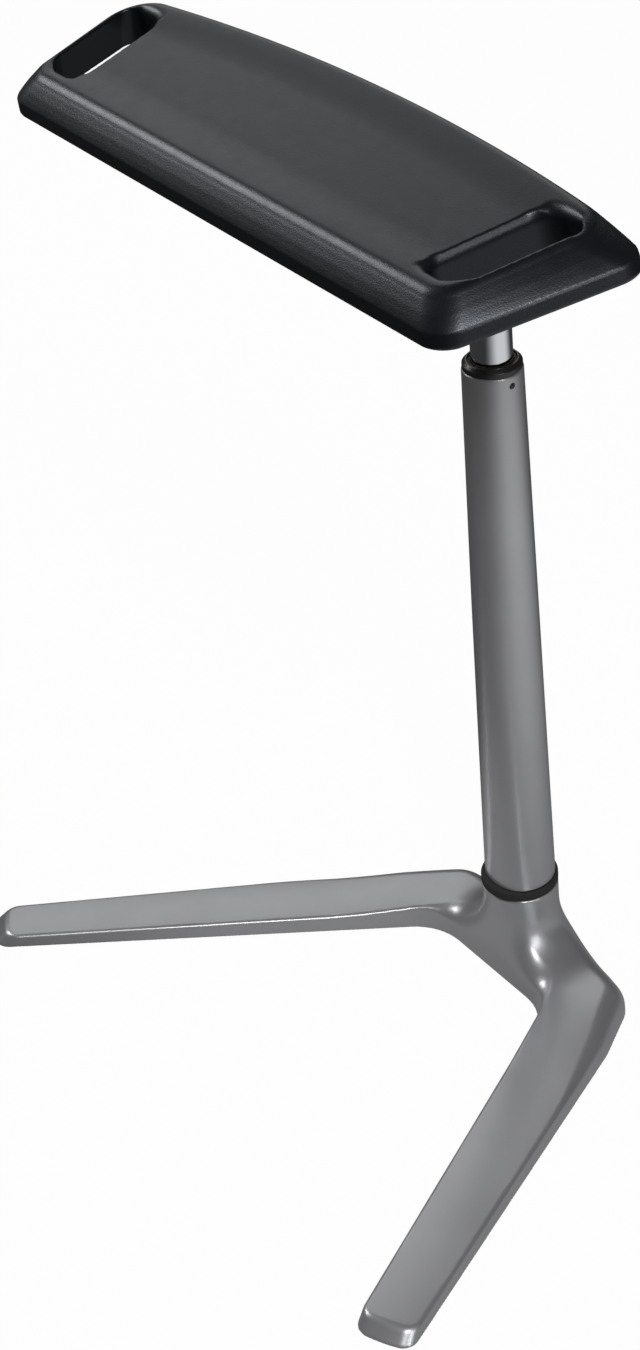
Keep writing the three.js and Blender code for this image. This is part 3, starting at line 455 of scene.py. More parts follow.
def net_of(shape: Field, low: Array, high: Array, step: float) -> tuple[Array, Array]:
    """The surface where a field is zero, as points and faces.

    Each cube of the grid that the surface crosses gets one point, the mean of the crossings on its edges. Each
    grid edge that the surface crosses gets one face through the points of the four cubes round it. The points then
    step down the field's slope onto its zero: p - f grad f / |grad f|^2.

    Args:
        shape: How far a point is outside the solid, for arrays of x, y and z.
        low: Lowest corner of the grid.
        high: Highest corner of the grid.
        step: Width of a cube.

    Returns:
        The points, one row each, and the faces, four numbers each.
    """
    axes = [np.arange(a, b + step, step) for a, b in zip(low, high)]
    open_grid = np.meshgrid(*axes, indexing="ij", sparse=True)
    values = np.broadcast_to(shape(*open_grid), [len(a) for a in axes])
    inside = values < 0
    cubes = [n - 1 for n in inside.shape]
    corners = list(itertools.product((0, 1), repeat=3))
    windows = [tuple(slice(o, o + n) for o, n in zip(c, cubes)) for c in corners]
    count = sum(inside[window].astype(np.int8) for window in windows)
    active = (count > 0) & (count < len(corners))
    cells = np.argwhere(active)
    at = {c: values[tuple((cells + c).T)] for c in corners}
    total, hits = np.zeros((len(cells), 3)), np.zeros(len(cells))
    for a, b in itertools.combinations(corners, 2):
        if sum(abs(p - q) for p, q in zip(a, b)) != 1:
            continue
        crossed = (at[a] < 0) != (at[b] < 0)
        share = np.where(crossed, at[a] / np.where(crossed, at[a] - at[b], 1.0), 0.0)
        point = np.array(a) + share[:, None] * (np.array(b) - np.array(a))
        total += point * crossed[:, None]
        hits += crossed
    points = np.array(low) + step * (cells + total / hits[:, None])
    number = np.full(active.shape, -1, dtype=np.int64)
    number[active] = np.arange(len(cells))
    faces = []
    for axis in range(3):
        u, v = np.eye(3, dtype=int)[[(axis + 1) % 3, (axis + 2) % 3]]
        first = tuple(slice(0, -1) if i == axis else slice(1, -1) for i in range(3))
        second = tuple(slice(1, None) if i == axis else slice(1, -1) for i in range(3))
        crossed = inside[first] != inside[second]
        edges = np.argwhere(crossed) + [0 if i == axis else 1 for i in range(3)]
        outward = inside[tuple(edges.T)]
        quad = np.stack([number[tuple(e.T)] for e in (edges, edges - u, edges - u - v, edges - v)], 1)
        faces.append(np.where(outward[:, None], quad, quad[:, ::-1]))
    return onto_surface(shape, points, step), np.concatenate(faces)


def onto_surface(shape: Field, points: Array, step: float) -> Array:
    """Moves points onto the zero of a field by two steps down its slope, each at most half a cube long.

    Args:
        shape: The field.
        points: The points, one row each.
        step: Width of a cube.

    Returns:
        The moved points.
    """
    nudge = step / 8
    for _ in range(2):
        x, y, z = points.T
        value = shape(x, y, z)
        slope = np.stack([
            shape(x + nudge, y, z) - shape(x - nudge, y, z),
            shape(x, y + nudge, z) - shape(x, y - nudge, z),
            shape(x, y, z + nudge) - shape(x, y, z - nudge),
        ], 1) / (2 * nudge)
        length = np.maximum(np.linalg.norm(slope, axis=1), LEAST_SLOPE)
        move = np.clip(value / length, -step / 2, step / 2)
        points = points - slope / length[:, None] * move[:, None]
    return points


@dataclass(frozen=True)
class BaseCasting:
    """The V-shaped cast base: two tapering legs, domed elbows and a hub that flares up to the column."""

    place: Placement
    column: Placement
    root: Point = (77.8, 11.2)
    tip: Point = (255.0, -308.6)
    widths: Point = (60.0, 41.0)
    heights: Point = (17.0, 10.8)
    elbow_rise: float = 6.0
    elbow_radius: float = 29.0
    elbow_y: float = 3.0
    tip_corner: float = 9.0
    tip_slope: float = 9.0
    tip_lip: float = 2.0
    tip_bow: float = 2.2
    crotch_corner: float = 40.0
    hub_radius: float = 40.0
    hub_y: float = 6.73
    front_y: float = -24.0
    front_lean: float = 5.0
    collar_radius: float = 28.5
    collar_height: float = 75.7
    flare_growth: float = 2.0e-5
    flare_power: float = 3.2
    flare_blend: float = 38.0
    draft: float = 0.1
    stand: float = 1.0
    bore_radius: float = 21.0
    mouth_radius: float = 15.0
    mouth_depth: float = 8.0
    recess_radius: float = 12.3
    recess_depth: float = 4.3
    toe_setback: float = 30.7
    back_edge: float = 24.0
    outer_edges: Point = (16.0, 2.2)
    inner_edges: Point = (18.0, 2.0)
    front_edge: float = 14.0
    crown: Point = (2.2, 0.7)
    straight_from: float = 48.0
    bend_radius: float = 90.0
    hub_span: Point = (34.0, 64.0)
    rim_span: Point = (24.0, 62.0)
    back_span: Point = (30.0, 75.0)
    inner_span: Point = (-2.0, 40.0)
    outer_run: float = 0.42
    crown_run: float = 0.15
    rise_run: float = 0.3
    back_from: float = 12.0
    side_fade: float = 8.0
    foot_edge: float = 0.8
    grid_reach: Point = (273.0, 321.0)
    step: float = 1.35
    sides: Array = field(init=False, repr=False)

    def __post_init__(self) -> None:
        """Works out the outline once."""
        object.__setattr__(self, "sides", self._outline())

    @property
    def run(self) -> tuple[Array, Array, float]:
        """The right leg's middle line in plan.

        Returns:
            Direction along the leg, direction across it, and its length.
        """
        way = np.array(self.tip) - np.array(self.root)
        length = float(np.linalg.norm(way))
        along = way / length
        return along, np.array((-along[1], along[0])), length

    def _edge(self, run: float, side: float) -> Array:
        """A point on the leg's edge.

        Args:
            run: Distance from the root.
            side: -1 for the inner edge and 1 for the outer.

        Returns:
            The point in plan.
        """
        along, across, length = self.run
        half = mix(*self.widths, run / length) / 2
        return np.array(self.root) + along * run + across * side * half

    def _outline(self) -> Array:
        """The right half of the plan, from the middle of the front to the middle of the back.

        Straight front, rounded crotch, leg and beyond its tip, then a common tangent onto the elbow's circle, the
        elbow's arc and the hub's arc.

        Returns:
            The outline's points, one row each.
        """
        length = self.run[2] + self.tip_corner * 3
        start, end = self._edge(0, -1), self._edge(length, -1)
        crotch = start + (end - start) * (self.front_y - start[1]) / (end[1] - start[1])
        bend = self._edge(self.straight_from, 1)
        elbow, hub = np.array((self.root[0], self.elbow_y)), np.array((0.0, self.hub_y))
        reach, apart = bend - elbow, elbow - hub
        near = math.atan2(reach[1], reach[0]) + math.acos(self.elbow_radius / np.linalg.norm(reach))
        shared = math.acos((self.hub_radius - self.elbow_radius) / np.linalg.norm(apart))
        far = math.atan2(apart[1], apart[0]) + shared
        to_elbow, to_hub = np.linspace(near, far, 18), np.linspace(far, math.pi / 2, 12)
        round_elbow = elbow + self.elbow_radius * np.stack((np.cos(to_elbow), np.sin(to_elbow)), 1)
        round_hub = hub + self.hub_radius * np.stack((np.cos(to_hub), np.sin(to_hub)), 1)
        leg = arc_corners([
            (0.0, self.front_y, 0.0), (*crotch, self.crotch_corner), (*end, 0.0),
            (*self._edge(length, 1), 0.0), (*bend, self.bend_radius), (*round_elbow[0], 0.0),
        ], closed=False, steps=8)
        return np.concatenate((leg, round_elbow[1:], round_hub[1:]))

    def plan(self, x: Array, y: Array) -> Array:
        """How far a point is outside the outline in plan.

        The least distance to any side, negative where a ray to the right crosses the outline an odd number of
        times.

        Args:
            x: Distance to the right.
            y: Distance to the back.

        Returns:
            The distance.
        """
        x = np.abs(x)
        best = np.full(np.broadcast_shapes(x.shape, y.shape), np.inf)
        odd = np.zeros(best.shape, dtype=bool)
        for (ax, ay), (bx, by) in zip(self.sides[:-1], self.sides[1:]):
            ex, ey = bx - ax, by - ay
            t = np.clip(((x - ax) * ex + (y - ay) * ey) / (ex * ex + ey * ey), 0.0, 1.0)
            best = np.minimum(best, (x - ax - t * ex) ** 2 + (y - ay - t * ey) ** 2)
            if ey != 0:
                odd ^= ((ay > y) != (by > y)) & (x < ax + (y - ay) * ex / ey)
        return np.where(odd, -1.0, 1.0) * np.sqrt(best)

    def on_leg(self, x: Array, y: Array) -> tuple[Array, Array]:
        """A point in the right leg's own axes.

        Args:
            x: Distance to the right.
            y: Distance to the back.

        Returns:
            Distance past its root, and to the outer side of its middle line.
        """
        along, across, _ = self.run
        dx, dy = np.abs(x) - self.root[0], y - self.root[1]
        return dx * along[0] + dy * along[1], dx * across[0] + dy * across[1]

    def top(self, x: Array, y: Array) -> Array:
        """Height of the legs and shoulders.

        A straight taper, a rise that fades out past the elbow and a slight crown across.

        Args:
            x: Distance to the right.
            y: Distance to the back.

        Returns:
            The height.
        """
        past, off = self.on_leg(x, y)
        run = np.clip(past / self.run[2], 0.0, 1.0)
        half = mix(*self.widths, run) / 2
        camber = mix(*self.crown, run) * smooth(run, 0.0, self.crown_run) * (off / half) ** 2
        return mix(*self.heights, run) + self.elbow_rise * (1.0 - smooth(run, 0.0, self.rise_run)) - camber

    def tip_end(self, x: Array, y: Array, z: Array) -> Array:
        """How far a point is past the leg's end face, which slopes back above a low lip and is bowed in plan.

        Args:
            x: Distance to the right.
            y: Distance to the back.
            z: Height.

        Returns:
            The distance.
        """
        past, off = self.on_leg(x, y)
        rise = np.clip((z - self.tip_lip) / (self.heights[1] - self.tip_lip), 0.0, 1.3)
        return past - self.run[2] + self.tip_slope * rise + self.tip_bow * (off / (self.widths[1] / 2)) ** 2

    def edge_radius(self, x: Array, y: Array) -> Array:
        """Radius of the top edge: wide at the elbow and the back, tight along the legs, soft on the hub's front.

        Args:
            x: Distance to the right.
            y: Distance to the back.

        Returns:
            The radius.
        """
        past, off = self.on_leg(x, y)
        run = past / self.run[2]
        outer = mix(*self.outer_edges, smooth(run, 0.0, self.outer_run))
        outer = mix(self.back_edge, outer, smooth(np.abs(x), *self.back_span))
        inner = mix(*self.inner_edges, smooth(past, *self.inner_span))
        inner = mix(self.front_edge, inner, smooth(np.abs(x), *self.rim_span))
        return mix(inner, outer, smooth(np.maximum(off, y - self.back_from), -self.side_fade, self.side_fade))

    def shape(self, x: Array, y: Array, z: Array) -> Array:
        """How far a point is outside the casting.

        The flare is a body of revolution about the column's axis with radius a + b d^n at depth d. It flows into
        the slab of the legs. The outline cuts both and rounds their edges. Its sides draw in with height, apart
        from the hub's front, which leans out.

        Args:
            x: Distance to the right.
            y: Distance to the back.
            z: Height.

        Returns:
            The distance.
        """
        axis_y, axis_z = self.column.axes[:, 1], self.column.axes[:, 2]
        dz = z - self.collar_height
        along = y * axis_z[1] + dz * axis_z[2]
        beside = y * axis_y[1] + dz * axis_y[2]
        away = np.sqrt(x * x + beside * beside)
        depth = np.clip(-along, 0.0, None)
        growth = self.flare_growth * depth ** (self.flare_power - 1.0)
        steep = np.sqrt(1.0 + (self.flare_power * growth) ** 2)
        flare = np.maximum((away - self.collar_radius - growth * depth) / steep, along)
        slab = z - self.top(x, y)
        off_hub = smooth(np.abs(x), *self.hub_span)
        lean = self.draft * z * off_hub
        lean = lean - self.front_lean * z / self.collar_height * (1.0 - off_hub) * (y < 0)
        outline = both(self.plan(x, y) + lean, self.tip_end(x, y, z), self.tip_corner)
        body = both(either(flare, slab, self.flare_blend), outline, self.edge_radius(x, y))
        body = both(np.maximum(body, along), self.stand - z, self.foot_edge)
        bore = np.maximum(away - self.bore_radius, along + self.mouth_depth)
        bore = np.minimum(bore, away - self.mouth_radius)
        body = np.maximum(body, -bore)
        for px, py in self.pads():
            recess = np.hypot(np.abs(x) - px, y - py) - self.recess_radius
            recess = np.maximum(recess, z - self.recess_depth)
            body = np.maximum(body, -recess)
        return body

    def pads(self) -> list[Point]:
        """Middles of the right-hand floor pads, under the toe and under the elbow.

        Returns:
            The two points in plan.
        """
        along, _, _ = self.run
        toe = np.array(self.tip) - along * self.toe_setback
        return [(float(toe[0]), float(toe[1])), (self.root[0], self.elbow_y)]

    def build(self) -> None:
        """Makes the casting and its four floor pads."""
        reach_x, reach_y = self.grid_reach
        low = (-reach_x, -reach_y, -1.0)
        high = (reach_x, self.hub_y + self.hub_radius + 2, self.collar_height + 4)
        points, faces = net_of(self.shape, np.array(low), np.array(high), self.step)
        add_piece("base_body", self.place.out(points), faces, SILVER, "base", ["base_casting"])
        for kind in ("toe", "heel"):
            for side in ("left", "right"):
                eased_copy(f"{kind}_pad_{side}", 0.8, RUBBER, "base")


def eased_copy(node: str, ease: float, finish: Finish, body: str) -> bpy.types.Object:
    """A copy of a CAD solid with its triangles merged into clean faces and its sharp edges eased.

    Args:
        node: The CAD node to copy and stand for.
        ease: How far each sharp edge is cut back, in millimetres.
        finish: The copy's finish.
        body: The CAD body it rides on.

    Returns:
        The new object.
    """
    shape = bmesh.new()
    shape.from_mesh(frame["nodes"][node].data)
    bmesh.ops.remove_doubles(shape, verts=shape.verts, dist=2e-6)
    bmesh.ops.dissolve_limit(shape, angle_limit=math.radians(FLAT_TURN), verts=shape.verts, edges=shape.edges)
    limit = math.radians(SHARP_TURN)
    sharp = [e for e in shape.edges if len(e.link_faces) == 2 and e.calc_face_angle(0.0) > limit]
    bmesh.ops.bevel(shape, geom=sharp, offset=ease * MM, offset_type="OFFSET", segments=2, profile=0.5,
                    affect="EDGES", clamp_overlap=True)
    mesh = bpy.data.meshes.new(node + "_eased")
    shape.to_mesh(mesh)
    shape.free()
    mesh.shade_smooth()
    piece = settle(bpy.data.objects.new(node + "_eased", mesh), finish, body, [node])
    weighted = piece.modifiers.new("even_shading", "WEIGHTED_NORMAL")
    weighted.keep_sharp = True
    return piece


@dataclass(frozen=True)
class Column:
    """The tapered column, the black ring under it and the guide bush in its top."""

    place: Placement
    low: float = 7.9
    length: float = 422.0
    foot_radius: float = 26.5
    top_radius: float = 20.5
    wall: float = 3.6
    flat_depth: float = 2.6
    flat_fade: float = 250.0
    flat_power: float = 1.2
    flat_half_angle: int = 57
    turn_step: int = 3
    rows: int = 70
    end_margin: float = 5.0
    foot_edge: float = 0.9
    top_edges: Point = (1.3, 0.5)
    ring_height: float = 7.6
    ring_radius: float = 28.5
    ring_bore: float = 15.0
    guide_length: float = 60.0
    guide_radius: float = 16.9
    tube_radius: float = 14.0
    flange_height: float = 6.0
    wiper_width: float = 2.0
    wiper_height: float = 2.5
    wiper_sink: float = 1.0
    grub_drop: float = 7.0
    grub_radius: float = 2.3
    grub_sides: int = 24

    @property
    def high(self) -> float:
        """Height of the column's top end."""
        return self.low + self.length

    def radius(self, height: Array | float) -> Array | float:
        """Outer radius at a height: a straight taper."""
        return mix(self.foot_radius, self.top_radius, (height - self.low) / self.length)

    def _shell(self) -> tuple[Array, Array]:
        """The column's wall as a closed grid.

        Rows follow a closed profile up the outside and down the inside. On the outside the front is flattened: the
        radius is less by d (1 - (sin t / sin T)^2) within T of straight ahead, and d fades out with height.

        Returns:
            The points in the row frame, and the faces.
        """
        seat = self.high - self.guide_length - GAP
        bore = self.guide_radius + GAP
        foot = self.radius(self.low)
        corners = [(foot - self.wall, self.low, 0.0), (foot, self.low, self.foot_edge)]
        heights = np.linspace(self.low + self.end_margin, self.high - self.end_margin, self.rows)
        corners += [(self.radius(h), h, 0.0) for h in heights]
        corners += [(self.radius(self.high), self.high, self.top_edges[0]), (bore, self.high, self.top_edges[1]),
                    (bore, seat, 0.0), (self.radius(seat) - self.wall, seat, 0.0)]
        outline = arc_corners(corners)
        radius, height = outline[:, :1], outline[:, 1:]
        angle = np.radians(np.arange(0, 360, self.turn_step))
        ahead = np.angle(np.exp(1j * (angle + math.pi / 2)))
        limit = math.radians(self.flat_half_angle)
        flat = np.where(np.abs(ahead) < limit, 1.0 - (np.sin(ahead) / math.sin(limit)) ** 2, 0.0)
        fade = np.clip(1.0 - (height - self.low) / self.flat_fade, 0.0, 1.0) ** self.flat_power
        outside = radius > self.radius(height) - self.wall / 2
        radius = radius - self.flat_depth * fade * flat * outside
        flat = radius * np.cos(angle), radius * np.sin(angle)
        local = np.stack((*flat, np.broadcast_to(height, radius.shape)), -1)
        return self.place.out(local.reshape(-1, 3)), grid_faces(len(outline), len(angle))

    def _cut_grub_hole(self, shell: bpy.types.Object) -> None:
        """Cuts the grub screw's round hole through the wall on the +X side.

        Args:
            shell: The column.
        """
        angle = np.linspace(0.0, 2 * math.pi, self.grub_sides, endpoint=False)
        ends = [self.guide_radius + GAP / 2, self.top_radius + 3]
        local = np.array([
            (x, self.grub_radius * math.cos(a), self.high - self.grub_drop + self.grub_radius * math.sin(a))
            for x in ends for a in angle
        ])
        n = len(angle)
        drill = bpy.data.meshes.new("drill")
        around = [(j, (j + 1) % n, n + (j + 1) % n, n + j) for j in range(n)]
        caps = [tuple(range(n))[::-1], tuple(range(n, 2 * n))]
        drill.from_pydata(self.place.out(local) * MM, [], [*around, *caps])
        cutter = bpy.data.objects.new("drill", drill)
        bpy.context.scene.collection.objects.link(cutter)
        cut = shell.modifiers.new("grub_hole", "BOOLEAN")
        cut.object, cut.operation, cut.solver = cutter, "DIFFERENCE", "EXACT"
        ready = shell.evaluated_get(bpy.context.evaluated_depsgraph_get())
        mesh = bpy.data.meshes.new_from_object(ready)
        shell.modifiers.clear()
        shell.data = mesh
        mesh.set_sharp_from_angle(angle=math.radians(50))
        bpy.data.objects.remove(cutter)

    def build(self) -> None:
        """Makes the column, its ring, the guide bush and the wiper."""
        points, faces = self._shell()
        shell = add_piece("column_shell", points, faces, SILVER, "column", ["column_tube"])
        self._cut_grub_hole(shell)
        ring = [(self.ring_bore, GAP, 0.3), (self.ring_radius, GAP, 1.4),
                (self.ring_radius, self.ring_height, 1.4), (self.ring_bore, self.ring_height, 0.3)]
        turned("foot_ring", ring, self.place, RUBBER, "bearing", ["column_ring"])
        bore, top = self.tube_radius + GAP, self.high + self.flange_height
        flange, low = self.top_radius - 0.5, self.high + GAP
        pocket = bore + self.wiper_width + GAP
        pocket_low = top - self.wiper_sink - self.wiper_height - GAP
        bush = [
            (bore, self.high - self.guide_length, 0.4), (self.guide_radius, self.high - self.guide_length, 0.4),
            (self.guide_radius, low, 0.0), (flange, low, 0.4), (flange, top - 2.4, 0.9), (flange - 2.4, top, 0.7),
            (pocket, top, 0.25), (pocket, pocket_low, 0.1), (bore, pocket_low, 0.1),
        ]
        turned("guide_bushing", bush, self.place, BLACK_PLASTIC, "column", ["guide_bush"])
        wiper_top, wiper_rim = top - self.wiper_sink, bore + self.wiper_width
        wiper_low = wiper_top - self.wiper_height
        wiper = [(bore, wiper_low, 0.3), (wiper_rim, wiper_low, 0.3),
                 (wiper_rim, wiper_top, 0.6), (bore, wiper_top, 0.6)]
        turned("felt_wiper", wiper, self.place, FELT, "column", ["wiper_ring"])
        eased_copy("guide_grub_screw", 0.3, BLACK_STEEL, "column")


@dataclass(frozen=True)
class GasSpring:
    """The chromed tube that carries the seat. Its place is the tube's top."""

    place: Placement
    radius: float = 14.0
    wall: float = 1.6
    length: float = 341.0
    taper: float = 1.0
    taper_length: float = 40.0

    def build(self) -> None:
        """Makes the tube: straight below, slightly conical in its socket."""
        bore = self.radius - self.wall
        tube = [
            (bore, -self.length, 0.3), (self.radius, -self.length, 0.6), (self.radius, -self.taper_length, 0.0),
            (self.radius - self.taper, 0.0, 0.5), (bore - self.taper, 0.0, 0.3),
            (bore - self.taper, -self.taper_length, 0.0), (bore, -self.taper_length - self.taper, 0.0),
        ]
        turned("gas_cylinder", tube, self.place, CHROME, "lift", ["gas_tube"], turns=160)


@dataclass(frozen=True)
class SeatPad:
    """The moulded foam seat with a rounded grip slot at each end, in the seat's own tilted axes."""

    place: Placement
    front_length: float = 457.4
    back_length: float = 531.6
    depth: float = 117.6
    bow: float = 18.5
    height: float = 23.4
    under: float = 8.0
    under_set_in: float = 14.0
    front_slope: float = 14.2
    end_slopes: Point = (10.3, 25.0)
    back_slope: float = 3.0
    front_corner: float = 15.0
    back_corners: Point = (18.0, 30.0)
    rim_radius: float = 5.0
    dish: float = 2.5
    dish_margin: float = 34.0
    slot_ends: Point = (29.0, 105.0)
    slot_inner: Point = (182.0, 197.0)
    slot_rim: float = 5.5
    slot_flare: float = 9.0
    inner_roll: float = 9.0
    slot_corner: float = 12.0
    end_roll: float = 7.0
    outer_roll: float = 3.0
    board: tuple[float, float, float] = (150.3, 66.0, 46.3)
    board_top: float = -1.7
    lower_edge: float = 2.0
    under_power: float = 1.7
    dish_from: float = 2.0
    roll_span: Point = (-14.0, -4.0)
    roll_fade: float = 6.0
    side_slant: float = 0.86
    end_slant: float = 0.95
    wall_slant: float = 0.98
    step: float = 1.5
    side_heights: tuple[float, ...] = (-8.0, 0.0, 7.96, 11.0, 14.5, 19.66, 23.4, 30.0)
    side_leans: tuple[float, ...] = (0.0, 0.0, 0.05, 0.24, 0.48, 0.88, 1.04, 1.2)

    def _ends(self, y: Array, lean: Array) -> Array:
        """Half length of the seat: a straight line between its front and back corners.

        Args:
            y: Distance from the front edge.
            lean: How far the sides lean in, as a share of their slopes.

        Returns:
            The half length.
        """
        front, back = lean * self.front_slope, self.depth - lean * self.back_slope
        half_front = self.front_length / 2 - lean * self.end_slopes[0]
        half_back = self.back_length / 2 - lean * self.end_slopes[1]
        return mix(half_front, half_back, (y - front) / (back - front))

    def _outline(self, x: Array, y: Array, lean: Array, margin: Array) -> Array:
        """How far a point is outside the outline that leans in by a share of its slopes and by an even margin.

        Front, ends and bowed back are three cuts with rounded corners. The back is an arc through its two corners.

        Args:
            x: Distance to the right.
            y: Distance from the front edge.
            lean: How far the sides lean in, as a share of their slopes.
            margin: How far they draw in evenly.

        Returns:
            The distance.
        """
        half_back = self.back_length / 2 - lean * self.end_slopes[1]
        sweep = (half_back**2 + self.bow**2) / (2 * self.bow)
        back = self.depth - lean * self.back_slope - (sweep - self.bow)
        front = lean * self.front_slope - y
        ends = (np.abs(x) - self._ends(y, lean)) * self.end_slant
        rear = np.hypot(x, y - back) - sweep
        corner = mix(*self.back_corners, np.clip(lean, 0.0, 1.0))
        return both(both(front, ends, self.front_corner), rear, corner) + margin

    def _slot(self, x: Array, y: Array, z: Array) -> tuple[Array, Array]:
        """How far a point is outside a grip slot, and the radius to which the slot's edge rolls there.

        The inner side starts as a quarter round: R less the distance to its axis. The outer wall leans out towards
        the bottom. The rolled edge fades out where the quarter round leaves the top.

        Args:
            x: Distance to the right.
            y: Distance to the back.
            z: Height.

        Returns:
            The distance and the radius.
        """
        across, share = np.abs(x), (y - self.slot_ends[0]) / (self.slot_ends[1] - self.slot_ends[0])
        radius = self.inner_roll
        start = mix(*self.slot_inner, share) - radius
        drop = np.maximum(z - self.height + radius, 0.0)
        inner = radius - np.hypot(np.maximum(across - start, 0.0), drop)
        outer = self._ends(y, np.array(1.0)) - self.slot_rim
        outer = outer + self.slot_flare * np.clip(1.0 - z / self.height, 0.0, 1.3)
        ends = both(self.slot_ends[0] - y, y - self.slot_ends[1], 1.0)
        rest = both((across - outer) * self.wall_slant, ends, self.slot_corner)
        roll = mix(self.end_roll, self.outer_roll, smooth(across - outer, *self.roll_span))
        roll = roll * smooth(across - start, 0.0, radius)
        roll = roll * smooth(rest - inner, -self.roll_fade, self.roll_fade)
        return both(inner, rest, self.slot_corner), roll

    def shape(self, x: Array, y: Array, z: Array) -> Array:
        """How far a point is outside the pad.

        The sides lean in with height, the underside draws in below the lower edge, the top is dished towards the
        middle, the rim is rounded, and the slots cut through with rolled edges. A pocket takes the board.

        Args:
            x: Distance to the right.
            y: Distance to the back.
            z: Height.

        Returns:
            The distance.
        """
        lean = np.interp(z, self.side_heights, self.side_leans)
        drawn = self.under_set_in * (np.clip(-z, 0.0, None) / self.under) ** self.under_power
        sides = self._outline(x, y, lean, drawn) * self.side_slant
        inward = -self._outline(x, y, np.array(1.0), np.array(0.0))
        top = z - self.height + self.dish * smooth(inward, self.dish_from, self.dish_margin)
        slot, roll = self._slot(x, y, z)
        top = both(top, -slot, roll)
        body = both(sides, top, self.rim_radius)
        body = both(body, -self.under - z, self.lower_edge)
        half_x, middle, half_y = self.board
        pocket = np.maximum(np.abs(x) - half_x, np.abs(y - middle) - half_y)
        return np.maximum(body, -np.maximum(pocket, z - self.board_top))

    def build(self) -> None:
        half = self.back_length / 2 + 2
        points, faces = net_of(
            self.shape, np.array((-half, -3.0, -self.under - 3)),
            np.array((half, self.depth + self.bow + 6, self.height + 3)), self.step,
        )
        pad = add_piece("seat_foam", self.place.out(points), faces, FOAM, "lift", ["seat_pad"])


@dataclass(frozen=True)
class SmallParts:
    """Fixings, the seat's arm and board, the lever and the inner works: eased copies of the CAD solids."""

    steel: tuple[tuple[str, str], ...] = (
        ("bearing_sleeve", "base"), ("bearing_core", "column"), ("core_washer", "column"),
        ("column_foot_plug", "column"), ("rod_washer", "column"), ("valve_head", "lift"),
        ("lever_pivot_pin", "lift"), ("seat_insert_1", "lift"), ("seat_insert_2", "lift"),
        ("seat_insert_3", "lift"), ("seat_insert_4", "lift"), ("release_pin", "pin"),
    )
    black_steel: tuple[tuple[str, str, float], ...] = (
        ("core_bolt", "column", 0.5), ("piston", "column", 0.3), ("rod_clip", "column", 0.2),
        ("seat_arm", "lift", 0.9), ("release_lever", "lever", 0.5), ("seat_screw_1", "lift", 0.4),
        ("seat_screw_2", "lift", 0.4), ("seat_screw_3", "lift", 0.4), ("seat_screw_4", "lift", 0.4),
    )

    def build(self) -> None:
        """Makes every small part."""
        for node, body in self.steel:
            eased_copy(node, 0.3, ZINC, body)
        for node, body, ease in self.black_steel:
            eased_copy(node, ease, BLACK_STEEL, body)
        eased_copy("rod_guide", 0.3, BLACK_PLASTIC, "lift")
        eased_copy("lever_grip", 1.6, BLACK_PLASTIC, "lever")
        eased_copy("piston_rod", 0.3, CHROME, "column")
        eased_copy("bearing_rubber", 0.5, RUBBER, "bearing")
        eased_copy("seat_board", 0.6, PLYWOOD, "lift")


@dataclass(frozen=True)
class Lamp:
    """A soft rectangular lamp that faces a point of the stool."""

    name: str
    spot: tuple[float, float, float]
    size: Point
    power: float
    aim: tuple[float, float, float] = (0.0, 0.0, 0.35)

    def build(self) -> None:
        """Makes the lamp."""
        data = bpy.data.lights.new(self.name, "AREA")
        data.shape = "RECTANGLE"
        data.size, data.size_y = self.size
        data.energy = self.power
        lamp = bpy.data.objects.new(self.name, data)
        bpy.context.scene.collection.objects.link(lamp)
        lamp.location = self.spot
        lamp.rotation_euler = (Vector(self.aim) - Vector(self.spot)).to_track_quat("-Z", "Y").to_euler()


